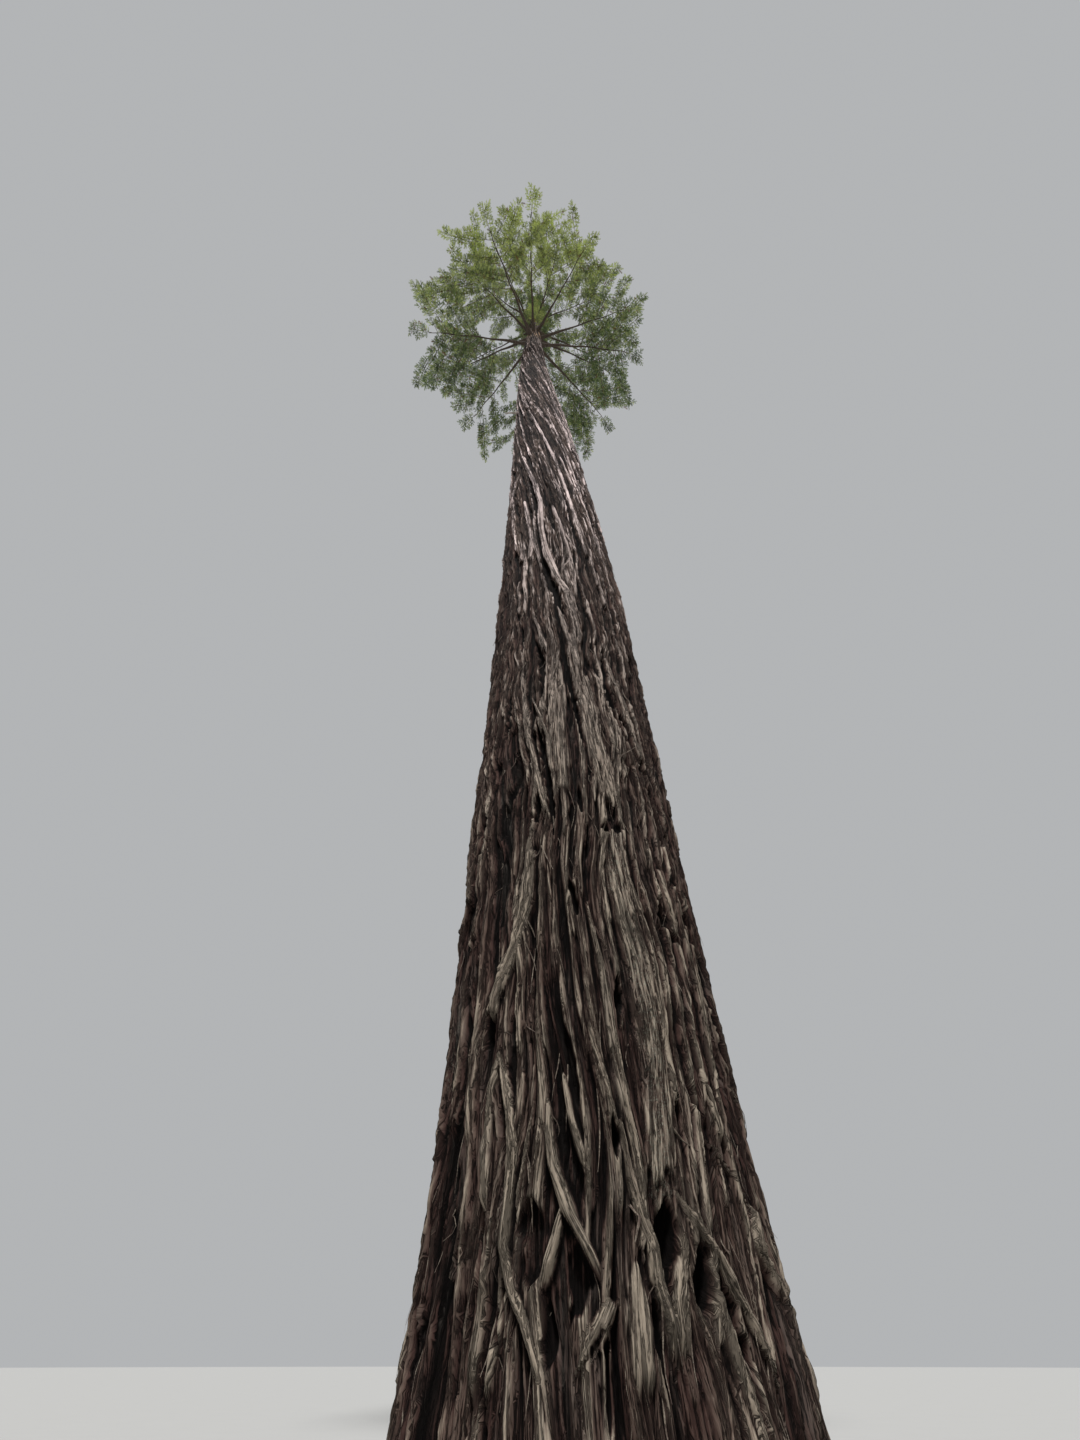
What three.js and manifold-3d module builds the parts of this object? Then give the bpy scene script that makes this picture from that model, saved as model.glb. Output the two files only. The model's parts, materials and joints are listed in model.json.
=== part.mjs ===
// A tall redwood with a long clean bole and a narrow crown, modelled at half its real size.
// Millimetres, +Z up, with the origin in the flat cut under the trunk. Azimuth 0 is +X and 90 is +Y,
// and the front of the tree faces -Y.
import * as THREE from "three";
import { mergeVertices } from "three/addons/utils/BufferGeometryUtils.js";
import Module from "manifold-3d";

const wasm = await Module();
wasm.setup();

// Trunk
const TRUNK_HEIGHT = 39300;
const BOLE_RADIUS = 585;
const TAPER = 0.0185;
const TAPER_START = 6500;
const TAPER_BLEND = 1500;
const TIP_RADIUS = 30;
const FLARE = 150;
const FLARE_HEIGHT = 350;
const BUTTRESSES = 7;
const BUTTRESS_DEPTH = 55;
const BUTTRESS_HEIGHT = 700;
const BUTTRESS_PHASE = 0.6;
const FLUTES = 5;
const FLUTE_DEPTH = 12;
const FLUTE_TURN = 0.00006;
const LEAN = -410;
const LEAN_FROM = 4000;
const LEAN_TO = 22000;
const TRUNK_SIDES = 28;
const TRUNK_RING_HEIGHTS = [0, 120, 280, 500, 800, 1300, 2200, 3600];
const TRUNK_RING_STEP = 1880;

// Crown: how far it reaches from the trunk's axis, and how its boughs rise and droop
const TREE_HEIGHT = 40000;
const CROWN_BASE = 22900;
const CROWN_REACH = 3800;
const CROWN_FULLNESS = 1.6;
const CROWN_ROUNDING = 0.9;
const REACH_VARIES = 0.08;
const RISE_LOW = 5;
const RISE_HIGH = 50;
const RISE_VARIES = 8;
const DROOP_LOW = 0.24;
const DROOP_HIGH = 0.04;
const DROOP_VARIES = 0.2;
const BEND = 0.16;
const BOUGH_SEED = 1000;
const GOLDEN_ANGLE = 137.508;

// The lowest whorl, bough by bough: azimuth in degrees and height on the trunk
const LOW_WHORL = [
  [-94, 24900],
  [-54, 25300],
  [-15, 24500],
  [-1, 23250],
  [19, 25050],
  [41, 23900],
  [70, 25900],
  [100, 23700],
  [131, 24400],
  [160, 25600],
  [188, 23300],
  [218, 25300],
  [244, 23900],
];
const UPPER_BOUGHS = 12;
const UPPER_FROM = 26500;
const UPPER_STEP = 660;
const UPPER_AZIMUTH = -120;
const LEADER_SHOOTS = 7;
const LEADER_FROM = 34450;
const LEADER_STEP = 640;

// Boughs
const BOUGH_RADIUS_LOW = 62;
const BOUGH_RADIUS_HIGH = 30;
const BOUGH_RADIUS_VARIES = 0.15;
const BOUGH_TIP_SHARE = 0.42;
const BOUGH_SHARE = 0.4;
const BOUGH_SIDES = 6;
const BOUGH_SEGMENTS = 4;

// Foliage: each mass is twigs from one stem, and each blade stands for many sprays of needles
const STEM_SIDES = 4;
const STEM_SEGMENTS = 3;
const STEM_TIP_RADIUS = 12;
const SHOOT_RADIUS_SHARE = 0.7;
const SHOOT_LEAST_SHARE = 0.4;
const SHOOT_FIRST_TWIG = 0.35;
const TIP_RADIUS_SHARE = 0.8;
const TIP_FIRST_TWIG = 0.1;
const TIP_SPREAD = 420;
const TWIG_SIDES = 3;
const TWIGS_PER_MASS = 17;
const TWIG_RADIUS = 12;
const TWIG_SPREAD = 0.44;
const TWIG_VARIES = 0.2;
const TWIG_SHRINK = 0.45;
const TWIG_SHORTER = [1, 0.72, 0.5];
const TWIG_LEAST = 260;
const TWIG_FIRST = 0.06;
const TWIG_LAST = 0.84;
const TWIG_YAW = 0.75;
const TWIG_YAW_VARIES = 0.45;
const TWIG_PITCH = -0.45;
const TWIG_PITCH_VARIES = 1.3;
const BLADE_LENGTH = 1020;
const BLADE_WIDTH = 500;
const BLADE_VARIES = 0.15;
const BLADE_LEAST = 0.65;
const BLADE_THICKNESS = 26;
const BLADE_SUNK = 0.42;
const BLADE_SHORTER = [1, 0.8, 0.62, 0.48];
const BLADE_TILT = 1.5;
const BLADE_APART = 0.46;
const END_TURN = 0.14;
const END_TILT = 0.45;
const FOLIAGE_SEED = 5000;
const SMOOTHING = 2;
// The blade's outline along and across it, from its root to its tip, with two teeth a side
const BLADE_TEETH = [
  [0, 0],
  [0.3, 0.5],
  [0.46, 0.27],
  [0.68, 0.4],
  [1, 0],
];

// Clearances, and how many stretches a limb has where they are measured
const SEAT_GAP = 0.3;
const LIMB_CLEARANCE = 25;
const SPACE_CLEARANCE = 14;
const LINE_STRETCHES = 6;

// A snapped dead branch low on the clean bole
const STUB_HEIGHT = 13500;
const STUB_AZIMUTH = 182;
const STUB_LENGTH = 240;
const STUB_RADIUS = 22;
const STUB_TIP_RADIUS = 9;
const STUB_DROOP = 45;

const barkMaterial = new THREE.MeshStandardMaterial({ color: 0x57483e, roughness: 0.95, metalness: 0 });
const limbMaterial = new THREE.MeshStandardMaterial({ color: 0x463a32, roughness: 0.92, metalness: 0 });
const needleMaterial = new THREE.MeshStandardMaterial({ color: 0x4d6230, roughness: 0.75, metalness: 0 });
const deadwoodMaterial = new THREE.MeshStandardMaterial({ color: 0x6f665c, roughness: 0.95, metalness: 0 });

const radians = THREE.MathUtils.degToRad;
const lerp = THREE.MathUtils.lerp;
const smoothstep = THREE.MathUtils.smoothstep;

// The same run of numbers from 0 to 1 for the same seed
function seeded(seed) {
  let state = seed >>> 0;
  return () => {
    state = (state + 0x6d2b79f5) >>> 0;
    let t = Math.imul(state ^ (state >>> 15), state | 1);
    t ^= t + Math.imul(t ^ (t >>> 7), t | 61);
    return ((t ^ (t >>> 14)) >>> 0) / 4294967296;
  };
}

// A factor near 1 that differs from it by up to a share
function varied(random, share) {
  return 1 + share * (2 * random() - 1);
}

// A closed geometry as a solid, and back
function solidOf(geometry) {
  const bare = geometry.clone();
  bare.deleteAttribute("normal");
  bare.deleteAttribute("uv");
  const merged = mergeVertices(bare, 1e-4);
  return new wasm.Manifold(
    new wasm.Mesh({
      numProp: 3,
      vertProperties: merged.attributes.position.array,
      triVerts: new Uint32Array(merged.index.array),
    }),
  );
}

function geometryOf(solid) {
  const mesh = solid.getMesh();
  const geometry = new THREE.BufferGeometry();
  geometry.setAttribute("position", new THREE.BufferAttribute(mesh.vertProperties, 3));
  geometry.setIndex(new THREE.BufferAttribute(mesh.triVerts, 1));
  geometry.computeVertexNormals();
  return geometry;
}

function largestBody(solid) {
  return solid.decompose().reduce((a, b) => (b.volume() > a.volume() ? b : a));
}

// Trunk: its axis leans one way above the butt, and its radius flares into buttresses at the ground
function axisAt(height) {
  return new THREE.Vector3(LEAN * smoothstep(height, LEAN_FROM, LEAN_TO), 0, height);
}

function softRamp(height) {
  return TAPER_BLEND * Math.log1p(Math.exp((height - TAPER_START) / TAPER_BLEND));
}

const TIP_EASE = TIP_RADIUS - (BOLE_RADIUS - TAPER * softRamp(TRUNK_HEIGHT));

function trunkRadius(height) {
  const bole = BOLE_RADIUS - TAPER * softRamp(height) + TIP_EASE * (height / TRUNK_HEIGHT) ** 4;
  return bole + FLARE * Math.exp(-height / FLARE_HEIGHT);
}

function trunkRelief(angle, height) {
  const foot = Math.exp(-height / BUTTRESS_HEIGHT);
  const buttress = BUTTRESS_DEPTH * foot * Math.cos(BUTTRESSES * angle + BUTTRESS_PHASE);
  const slim = trunkRadius(height) / BOLE_RADIUS;
  return buttress + FLUTE_DEPTH * slim * Math.cos(FLUTES * angle + FLUTE_TURN * height);
}

function trunkRings() {
  const rings = [...TRUNK_RING_HEIGHTS];
  while (rings.at(-1) + TRUNK_RING_STEP < TRUNK_HEIGHT) rings.push(rings.at(-1) + TRUNK_RING_STEP);
  rings.push(TRUNK_HEIGHT);
  return rings;
}

function trunkGeometry(allowance = 0) {
  const rings = trunkRings();
  const profile = rings.map((height) => new THREE.Vector2(1, height));
  profile.unshift(new THREE.Vector2(0, 0));
  profile.push(new THREE.Vector2(0, TRUNK_HEIGHT));
  const geometry = new THREE.LatheGeometry(profile, TRUNK_SIDES);
  geometry.rotateX(Math.PI / 2);
  const position = geometry.attributes.position;
  for (let i = 0; i < position.count; i++) {
    const [x, y, height] = [position.getX(i), position.getY(i), position.getZ(i)];
    const angle = Math.atan2(y, x);
    const share = Math.hypot(x, y);
    const radius = share * (trunkRadius(height) + trunkRelief(angle, height) + allowance);
    position.setXYZ(i, axisAt(height).x + radius * Math.cos(angle), radius * Math.sin(angle), height);
  }
  return geometry;
}

// A limb is a bent cylinder that tapers along a curve
function limbGeometry(curve, startRadius, endRadius, sides, segments) {
  const geometry = new THREE.CylinderGeometry(1, 1, 1, sides, segments);
  const frames = curve.computeFrenetFrames(segments);
  const position = geometry.attributes.position;
  const vertex = new THREE.Vector3();
  for (let i = 0; i < position.count; i++) {
    vertex.fromBufferAttribute(position, i);
    const share = vertex.y + 0.5;
    const ring = Math.round(share * segments);
    const radius = lerp(startRadius, endRadius, share);
    const place = curve.getPointAt(share);
    place.addScaledVector(frames.normals[ring], vertex.z * radius);
    place.addScaledVector(frames.binormals[ring], vertex.x * radius);
    position.setXYZ(i, place.x, place.y, place.z);
  }
  return geometry;
}

// A stretch of a path, from one share of it to another
class Stretch extends THREE.Curve {
  constructor(pointAt, from, to) {
    super();
    this.pointAt = pointAt;
    this.from = from;
    this.to = to;
  }

  getPoint(share, target = new THREE.Vector3()) {
    return target.copy(this.pointAt(lerp(this.from, this.to, share)));
  }
}

// Crown: a bough's path runs from the trunk's axis (share 0) to the tip of its foliage (share 1)
function crownReach(height) {
  const share = THREE.MathUtils.clamp((height - CROWN_BASE) / (TREE_HEIGHT - CROWN_BASE), 0, 1);
  return CROWN_REACH * (1 - share ** CROWN_FULLNESS) ** CROWN_ROUNDING;
}

function boughRule(index, azimuth, height) {
  const random = seeded(BOUGH_SEED + index);
  const level = (height - CROWN_BASE) / (TREE_HEIGHT - CROWN_BASE);
  return {
    index,
    height,
    azimuth: radians(azimuth),
    rise: radians(lerp(RISE_LOW, RISE_HIGH, level) + RISE_VARIES * (random() - 0.5)),
    reach: crownReach(height) * varied(random, REACH_VARIES),
    droop: lerp(DROOP_LOW, DROOP_HIGH, level) * varied(random, DROOP_VARIES),
    bend: BEND * (random() - 0.5),
    radius: lerp(BOUGH_RADIUS_LOW, BOUGH_RADIUS_HIGH, level) * varied(random, BOUGH_RADIUS_VARIES),
  };
}

function pathOf(bough) {
  return (share) => {
    const out = share * bough.reach;
    const azimuth = bough.azimuth + bough.bend * share;
    const height = bough.height + out * Math.tan(bough.rise) - bough.droop * bough.reach * share * share;
    const foot = axisAt(bough.height);
    return new THREE.Vector3(foot.x + out * Math.cos(azimuth), out * Math.sin(azimuth), height);
  };
}

function allBoughs() {
  const boughs = LOW_WHORL.map(([azimuth, height], i) => boughRule(i, azimuth, height));
  for (let i = 0; i < UPPER_BOUGHS; i++) {
    const azimuth = UPPER_AZIMUTH + i * GOLDEN_ANGLE;
    boughs.push(boughRule(boughs.length, azimuth, UPPER_FROM + i * UPPER_STEP));
  }
  return boughs;
}

function leaderShoots(first) {
  const shoots = [];
  for (let i = 0; i < LEADER_SHOOTS; i++) {
    const azimuth = UPPER_AZIMUTH + (UPPER_BOUGHS + i) * GOLDEN_ANGLE;
    shoots.push(boughRule(first + i, azimuth, LEADER_FROM + i * LEADER_STEP));
  }
  return shoots;
}

// The stem of a bough's foliage starts a seat's gap past the bough's end
function stemCurve(bough) {
  const path = pathOf(bough);
  const gap = SEAT_GAP / path(BOUGH_SHARE).distanceTo(path(BOUGH_SHARE + 0.001)) / 1000;
  return new Stretch(path, BOUGH_SHARE + gap, 1 - BLADE_LENGTH / bough.reach / 2);
}

// A leader's shoot starts inside the trunk and is cut clear of it
function shootCurve(shoot) {
  return new Stretch(pathOf(shoot), 0, Math.max(SHOOT_LEAST_SHARE, 1 - BLADE_LENGTH / shoot.reach / 2));
}

function tipCurve() {
  const foot = axisAt(TRUNK_HEIGHT);
  const tipBlade = (1 - BLADE_SUNK) * BLADE_LEAST * BLADE_LENGTH;
  const top = new THREE.Vector3(foot.x, 0, TREE_HEIGHT - tipBlade * Math.cos(END_TURN));
  foot.z += SEAT_GAP;
  return new THREE.LineCurve3(foot, top);
}

function lineOf(curve) {
  return curve.getSpacedPoints(LINE_STRETCHES);
}

// Distance from a point to a line of points, with the share along it
function nearest(point, line) {
  const segment = new THREE.Line3();
  const foot = new THREE.Vector3();
  let best = { distance: Infinity, share: 0 };
  for (let i = 0; i + 1 < line.length; i++) {
    segment.set(line[i], line[i + 1]);
    const along = segment.closestPointToPointParameter(point, true);
    const distance = segment.at(along, foot).distanceTo(point);
    if (distance < best.distance) best = { distance, share: (i + along) / (line.length - 1) };
  }
  return best;
}

// Whether every point keeps off the trunk and the limbs, and inside the mass's own space
function inOwnSpace(points, mass, limbs, masses) {
  return points.every((point) => {
    const fromAxis = Math.hypot(point.x - axisAt(point.z).x, point.y);
    const clear = trunkRadius(point.z) + FLUTE_DEPTH + LIMB_CLEARANCE;
    if (point.z < TRUNK_HEIGHT && fromAxis < clear) return false;
    const own = nearest(point, mass.line).distance;
    for (const other of masses) {
      if (other !== mass && nearest(point, other.line).distance < own + SPACE_CLEARANCE) return false;
    }
    for (const limb of limbs) {
      const near = nearest(point, limb.line);
      if (near.distance < lerp(limb.startRadius, limb.endRadius, near.share) + LIMB_CLEARANCE) return false;
    }
    return true;
  });
}

// A blade lies along a direction, flat across its side vector, tilted about its own rib
function bladeFrame(direction, tilt) {
  const along = direction.clone().normalize();
  const level = new THREE.Vector3().crossVectors(along, new THREE.Vector3(0, 0, 1));
  if (level.length() < 0.1) level.set(1, 0, 0);
  const side = level.normalize().applyAxisAngle(along, tilt);
  return { along, side, up: new THREE.Vector3().crossVectors(side, along) };
}

function bladeOutline(root, frame, length) {
  const width = (length * BLADE_WIDTH) / BLADE_LENGTH;
  const place = ([along, across], sign) =>
    root
      .clone()
      .addScaledVector(frame.along, along * length)
      .addScaledVector(frame.side, sign * across * width);
  const right = BLADE_TEETH.map((tooth) => place(tooth, 1));
  const left = BLADE_TEETH.slice(1, -1).map((tooth) => place(tooth, -1));
  return [...right, ...left.reverse()];
}

// A sphere of two bands has one ring of vertices and two poles: the ring takes the toothed outline
function bladeGeometry(outline, frame) {
  const count = outline.length;
  const geometry = new THREE.SphereGeometry(1, count, 2);
  const middle = outline[0].clone().lerp(outline[count / 2], BLADE_SUNK);
  const position = geometry.attributes.position;
  for (let i = 0; i < position.count; i++) {
    const height = position.getY(i);
    if (Math.abs(height) > 0.5) {
      const pole = middle.clone().addScaledVector(frame.up, (Math.sign(height) * BLADE_THICKNESS) / 2);
      position.setXYZ(i, pole.x, pole.y, pole.z);
      continue;
    }
    const angle = Math.atan2(position.getZ(i), -position.getX(i));
    const spot = outline[(Math.round((angle / (2 * Math.PI)) * count) + count) % count];
    position.setXYZ(i, spot.x, spot.y, spot.z);
  }
  return geometry;
}

// A side twig is a slim cone whose point lies in the thick of its blade
function twigGeometry(foot, end) {
  const direction = end.clone().sub(foot);
  const geometry = new THREE.ConeGeometry(TWIG_RADIUS, direction.length(), TWIG_SIDES, 1);
  geometry.translate(0, direction.length() / 2, 0);
  const turn = new THREE.Quaternion().setFromUnitVectors(new THREE.Vector3(0, 1, 0), direction.normalize());
  geometry.applyQuaternion(turn);
  return geometry.translate(foot.x, foot.y, foot.z);
}

// Points spread over a blade, close enough that no limb passes between them
function bladeSamples(outline) {
  const tip = outline[outline.length / 2];
  const samples = [];
  outline.forEach((corner, i) => {
    const rib = outline[0].clone().lerp(tip, i / outline.length);
    const next = outline[(i + 1) % outline.length];
    samples.push(corner, rib, corner.clone().lerp(next, 0.5), corner.clone().lerp(rib, 0.5));
  });
  return samples;
}

// The blade whose thick lies at a point, at the largest size that fits, or none
function fittingBlade(middle, direction, size, tilt, fits) {
  const frame = bladeFrame(direction, tilt);
  for (const shorter of BLADE_SHORTER) {
    const length = BLADE_LENGTH * size * shorter;
    const root = middle.clone().addScaledVector(frame.along, -BLADE_SUNK * length);
    const outline = bladeOutline(root, frame, length);
    if (fits(bladeSamples(outline))) return solidOf(bladeGeometry(outline, frame));
  }
  return null;
}

// Side twigs leave the stem left and right in turn, some rising and more drooping
function twigHeading(mass, share, side, random) {
  const yaw = side * (TWIG_YAW + TWIG_YAW_VARIES * random());
  const pitch = TWIG_PITCH + TWIG_PITCH_VARIES * (random() - 0.5);
  const heading = mass.curve.getTangentAt(share).applyAxisAngle(mass.turnAxis, yaw);
  return heading.addScaledVector(mass.turnAxis, pitch).normalize();
}

// The foliage rule: a blade at the stem's end, and side twigs with a blade each
function massSolid(mass, limbs, masses) {
  const random = seeded(FOLIAGE_SEED + mass.seed);
  const parts = [mass.stem];
  const middles = [];
  const fits = (points) => inOwnSpace(points, mass, limbs, masses);
  const scale = Math.max(BLADE_LEAST, mass.spread / (TWIG_SPREAD * CROWN_REACH));
  const twigs = Math.round(TWIGS_PER_MASS * scale);
  const stemEnd = mass.curve.getPointAt(1);
  const endHeading = mass.curve.getTangentAt(1).applyAxisAngle(mass.turnAxis, END_TURN);
  const endBlade = fittingBlade(stemEnd, endHeading, scale, END_TILT * varied(random, 0.5), fits);
  if (endBlade) {
    parts.push(endBlade);
    middles.push(stemEnd);
  }
  for (let i = 0; i < twigs; i++) {
    const share = lerp(mass.firstTwig, TWIG_LAST, (i + 0.5 * random()) / (twigs - 0.5));
    const heading = twigHeading(mass, share, i % 2 ? 1 : -1, random);
    const full = mass.spread * (1 - TWIG_SHRINK * share) * varied(random, TWIG_VARIES);
    const size = scale * varied(random, BLADE_VARIES);
    const tilt = BLADE_TILT * (random() - 0.5);
    const foot = mass.curve.getPointAt(share);
    for (const shorter of TWIG_SHORTER) {
      if (full * shorter < TWIG_LEAST) break;
      const end = foot.clone().addScaledVector(heading, full * shorter);
      if (middles.some((middle) => middle.distanceTo(end) < BLADE_APART * size * BLADE_LENGTH)) continue;
      const blade = fittingBlade(end, heading, size, tilt, fits);
      if (!blade || !fits([foot.clone().lerp(end, 0.3), foot.clone().lerp(end, 0.6)])) continue;
      parts.push(solidOf(twigGeometry(foot, end)), blade);
      middles.push(end);
      break;
    }
  }
  const joined = wasm.Manifold.union(parts).asOriginal().simplify(SMOOTHING);
  return largestBody(mass.cutter ? joined.subtract(mass.cutter) : joined);
}

// A mass's own record: its stem, the line that its space is measured from, and how far its twigs go
function massOf(name, seed, curve, startRadius, spread, firstTwig, cutter) {
  const stem = solidOf(limbGeometry(curve, startRadius, STEM_TIP_RADIUS, STEM_SIDES, STEM_SEGMENTS));
  const outward = curve.getTangentAt(0.5);
  const across = new THREE.Vector3().crossVectors(outward, new THREE.Vector3(0, 0, 1));
  if (across.length() < 0.1) across.set(0, 1, 0);
  const turnAxis = new THREE.Vector3().crossVectors(across.normalize(), outward).normalize();
  return { name, seed, curve, stem, spread, firstTwig, turnAxis, cutter, line: lineOf(curve) };
}

function named(name, geometry, material) {
  const mesh = new THREE.Mesh(geometry, material);
  mesh.name = name;
  return mesh;
}

function numbered(word, index) {
  return `${word}_${String(index + 1).padStart(2, "0")}`;
}

function deadStub(trunkClear) {
  const azimuth = radians(STUB_AZIMUTH);
  const foot = axisAt(STUB_HEIGHT);
  const out = trunkRadius(STUB_HEIGHT) + STUB_LENGTH;
  const end = new THREE.Vector3(
    foot.x + out * Math.cos(azimuth),
    out * Math.sin(azimuth),
    STUB_HEIGHT - STUB_DROOP,
  );
  const curve = new THREE.LineCurve3(foot, end);
  const whole = solidOf(limbGeometry(curve, STUB_RADIUS, STUB_TIP_RADIUS, BOUGH_SIDES, 2));
  return geometryOf(largestBody(whole.subtract(trunkClear)));
}

function redwood() {
  const tree = new THREE.Group();
  const trunkClear = solidOf(trunkGeometry(SEAT_GAP));
  tree.add(named("trunk", geometryOf(solidOf(trunkGeometry())), barkMaterial));
  tree.add(named("dead_stub", deadStub(trunkClear), deadwoodMaterial));

  const boughs = allBoughs();
  const limbs = [];
  const masses = [];
  for (const bough of boughs) {
    const curve = new Stretch(pathOf(bough), 0, BOUGH_SHARE);
    const endRadius = bough.radius * BOUGH_TIP_SHARE;
    const whole = solidOf(limbGeometry(curve, bough.radius, endRadius, BOUGH_SIDES, BOUGH_SEGMENTS));
    const solid = largestBody(whole.subtract(trunkClear));
    tree.add(named(numbered("bough", bough.index), geometryOf(solid), limbMaterial));
    limbs.push({ line: lineOf(curve), startRadius: bough.radius, endRadius });
    const name = numbered("foliage", bough.index);
    const spread = TWIG_SPREAD * bough.reach;
    masses.push(massOf(name, bough.index, stemCurve(bough), endRadius, spread, TWIG_FIRST, null));
  }
  for (const shoot of leaderShoots(boughs.length)) {
    const name = numbered("foliage", shoot.index);
    const radius = SHOOT_RADIUS_SHARE * shoot.radius;
    const spread = TWIG_SPREAD * shoot.reach;
    masses.push(massOf(name, shoot.index, shootCurve(shoot), radius, spread, SHOOT_FIRST_TWIG, trunkClear));
  }
  const tipRadius = TIP_RADIUS_SHARE * TIP_RADIUS;
  masses.push(massOf("crown_tip", masses.length, tipCurve(), tipRadius, TIP_SPREAD, TIP_FIRST_TWIG, null));
  for (const mass of masses) {
    tree.add(named(mass.name, geometryOf(massSolid(mass, limbs, masses)), needleMaterial));
  }
  return tree;
}

export default redwood();
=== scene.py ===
import json
import math
from typing import NamedTuple

import bpy
import numpy as np
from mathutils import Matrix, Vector

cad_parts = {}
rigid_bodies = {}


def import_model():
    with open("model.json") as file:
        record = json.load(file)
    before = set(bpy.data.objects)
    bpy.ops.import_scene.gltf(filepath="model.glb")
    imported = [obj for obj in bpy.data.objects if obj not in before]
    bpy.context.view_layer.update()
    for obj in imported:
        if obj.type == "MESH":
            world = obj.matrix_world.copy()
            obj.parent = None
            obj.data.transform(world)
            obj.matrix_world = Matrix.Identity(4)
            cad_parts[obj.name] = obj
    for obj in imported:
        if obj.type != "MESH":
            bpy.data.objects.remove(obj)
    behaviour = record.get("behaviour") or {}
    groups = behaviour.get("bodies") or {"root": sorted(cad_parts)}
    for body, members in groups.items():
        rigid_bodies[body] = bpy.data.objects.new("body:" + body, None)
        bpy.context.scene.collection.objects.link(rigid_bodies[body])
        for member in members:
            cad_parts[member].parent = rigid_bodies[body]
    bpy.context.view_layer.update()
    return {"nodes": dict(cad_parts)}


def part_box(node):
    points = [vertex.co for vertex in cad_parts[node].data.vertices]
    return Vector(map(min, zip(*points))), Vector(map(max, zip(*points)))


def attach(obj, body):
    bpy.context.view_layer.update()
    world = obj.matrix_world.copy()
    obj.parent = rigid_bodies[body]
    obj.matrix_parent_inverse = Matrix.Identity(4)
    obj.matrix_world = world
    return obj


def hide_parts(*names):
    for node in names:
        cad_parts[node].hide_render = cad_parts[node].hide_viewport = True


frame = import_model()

bl_info = {
    "name": "Redwood Tree",
    "version": (1, 0, 0),
    "blender": (4, 5, 0),
    "location": "3D View > Sidebar > Redwood",
    "description": "Dresses the solids of a tall redwood with bark, boughs, twigs and sprays of needles",
    "category": "Object",
}

TURN = 2 * math.pi
NODES = sorted(frame["nodes"])
FOLIAGE_NODES = [name for name in NODES if name.startswith("foliage_") or name == "crown_tip"]
BOUGH_NODES = [name for name in NODES if name.startswith("bough_")]

# The view up the trunk, in pixels of a frame of 1080 by 1440
FRAME_WIDTH = 1080
FRAME_HEIGHT = 1440
FOCAL_PIXELS = 554.3
SENSOR = 36.0
CAMERA_PLACE = (-0.19, -2.7, 0.75)
CAMERA_RISE = math.radians(49.11)

# The lowest whorl of boughs: azimuth in degrees and height on the trunk in metres
LOW_WHORL = (
    (-94, 24.9), (-54, 25.3), (-15, 24.5), (-1, 23.25), (19, 25.05), (41, 23.9), (70, 25.9),
    (100, 23.7), (131, 24.4), (160, 25.6), (188, 23.3), (218, 25.3), (244, 23.9),
)
# The boughs above it and the leader's shoots: degrees from one to the next, first azimuth, heights in metres
GOLDEN_ANGLE = 137.508
FIRST_AZIMUTH = -120
UPPER_BOUGHS_FROM, UPPER_BOUGHS_STEP = 26.5, 0.66
SHOOTS_FROM, SHOOTS_STEP = 34.45, 0.64

UP = np.array((0.0, 0.0, 1.0))


# Settings

def length(name, text, default, **more):
    return bpy.props.FloatProperty(name=name, description=text, default=default, unit="LENGTH", **more)


def factor(name, text, default, **more):
    return bpy.props.FloatProperty(name=name, description=text, default=default, **more)


def count(name, text, default, **more):
    return bpy.props.IntProperty(name=name, description=text, default=default, min=1, **more)


def colour(name, text, default):
    return bpy.props.FloatVectorProperty(
        name=name, description=text, default=default, size=3, min=0.0, max=1.0, subtype="COLOR"
    )


class RedwoodTrunkSettings(bpy.types.PropertyGroup):
    """The trunk's taper, flare and lean"""

    height: length("Height", "From the ground to the leader's foot", 39.3)
    radius: length("Bole radius", "Radius of the clean bole above the flare", 0.585)
    taper: factor("Taper", "Radius lost for each metre up", 0.0185)
    taper_start: length("Taper start", "Height where the taper sets in", 6.5)
    taper_blend: length("Taper blend", "How softly the taper sets in", 1.5)
    tip_radius: length("Tip radius", "Radius at the top of the trunk", 0.03)
    flare: length("Flare", "How far the foot spreads at the ground", 0.15)
    flare_height: length("Flare height", "How fast the flare dies away", 0.35)
    buttresses: count("Buttresses", "Low ribs round the foot", 7)
    buttress_depth: length("Buttress depth", "How far the ribs stand out", 0.055)
    buttress_height: length("Buttress height", "How fast the ribs die away", 0.7)
    flutes: count("Flutes", "Slow waves round the bole", 5)
    flute_depth: length("Flute depth", "How deep the waves are", 0.012)
    lean: length("Lean", "How far the top stands to one side", -0.41)
    lean_from: length("Lean from", "Height where the lean starts", 4.0)
    lean_to: length("Lean to", "Height where the lean ends", 22.0)


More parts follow.
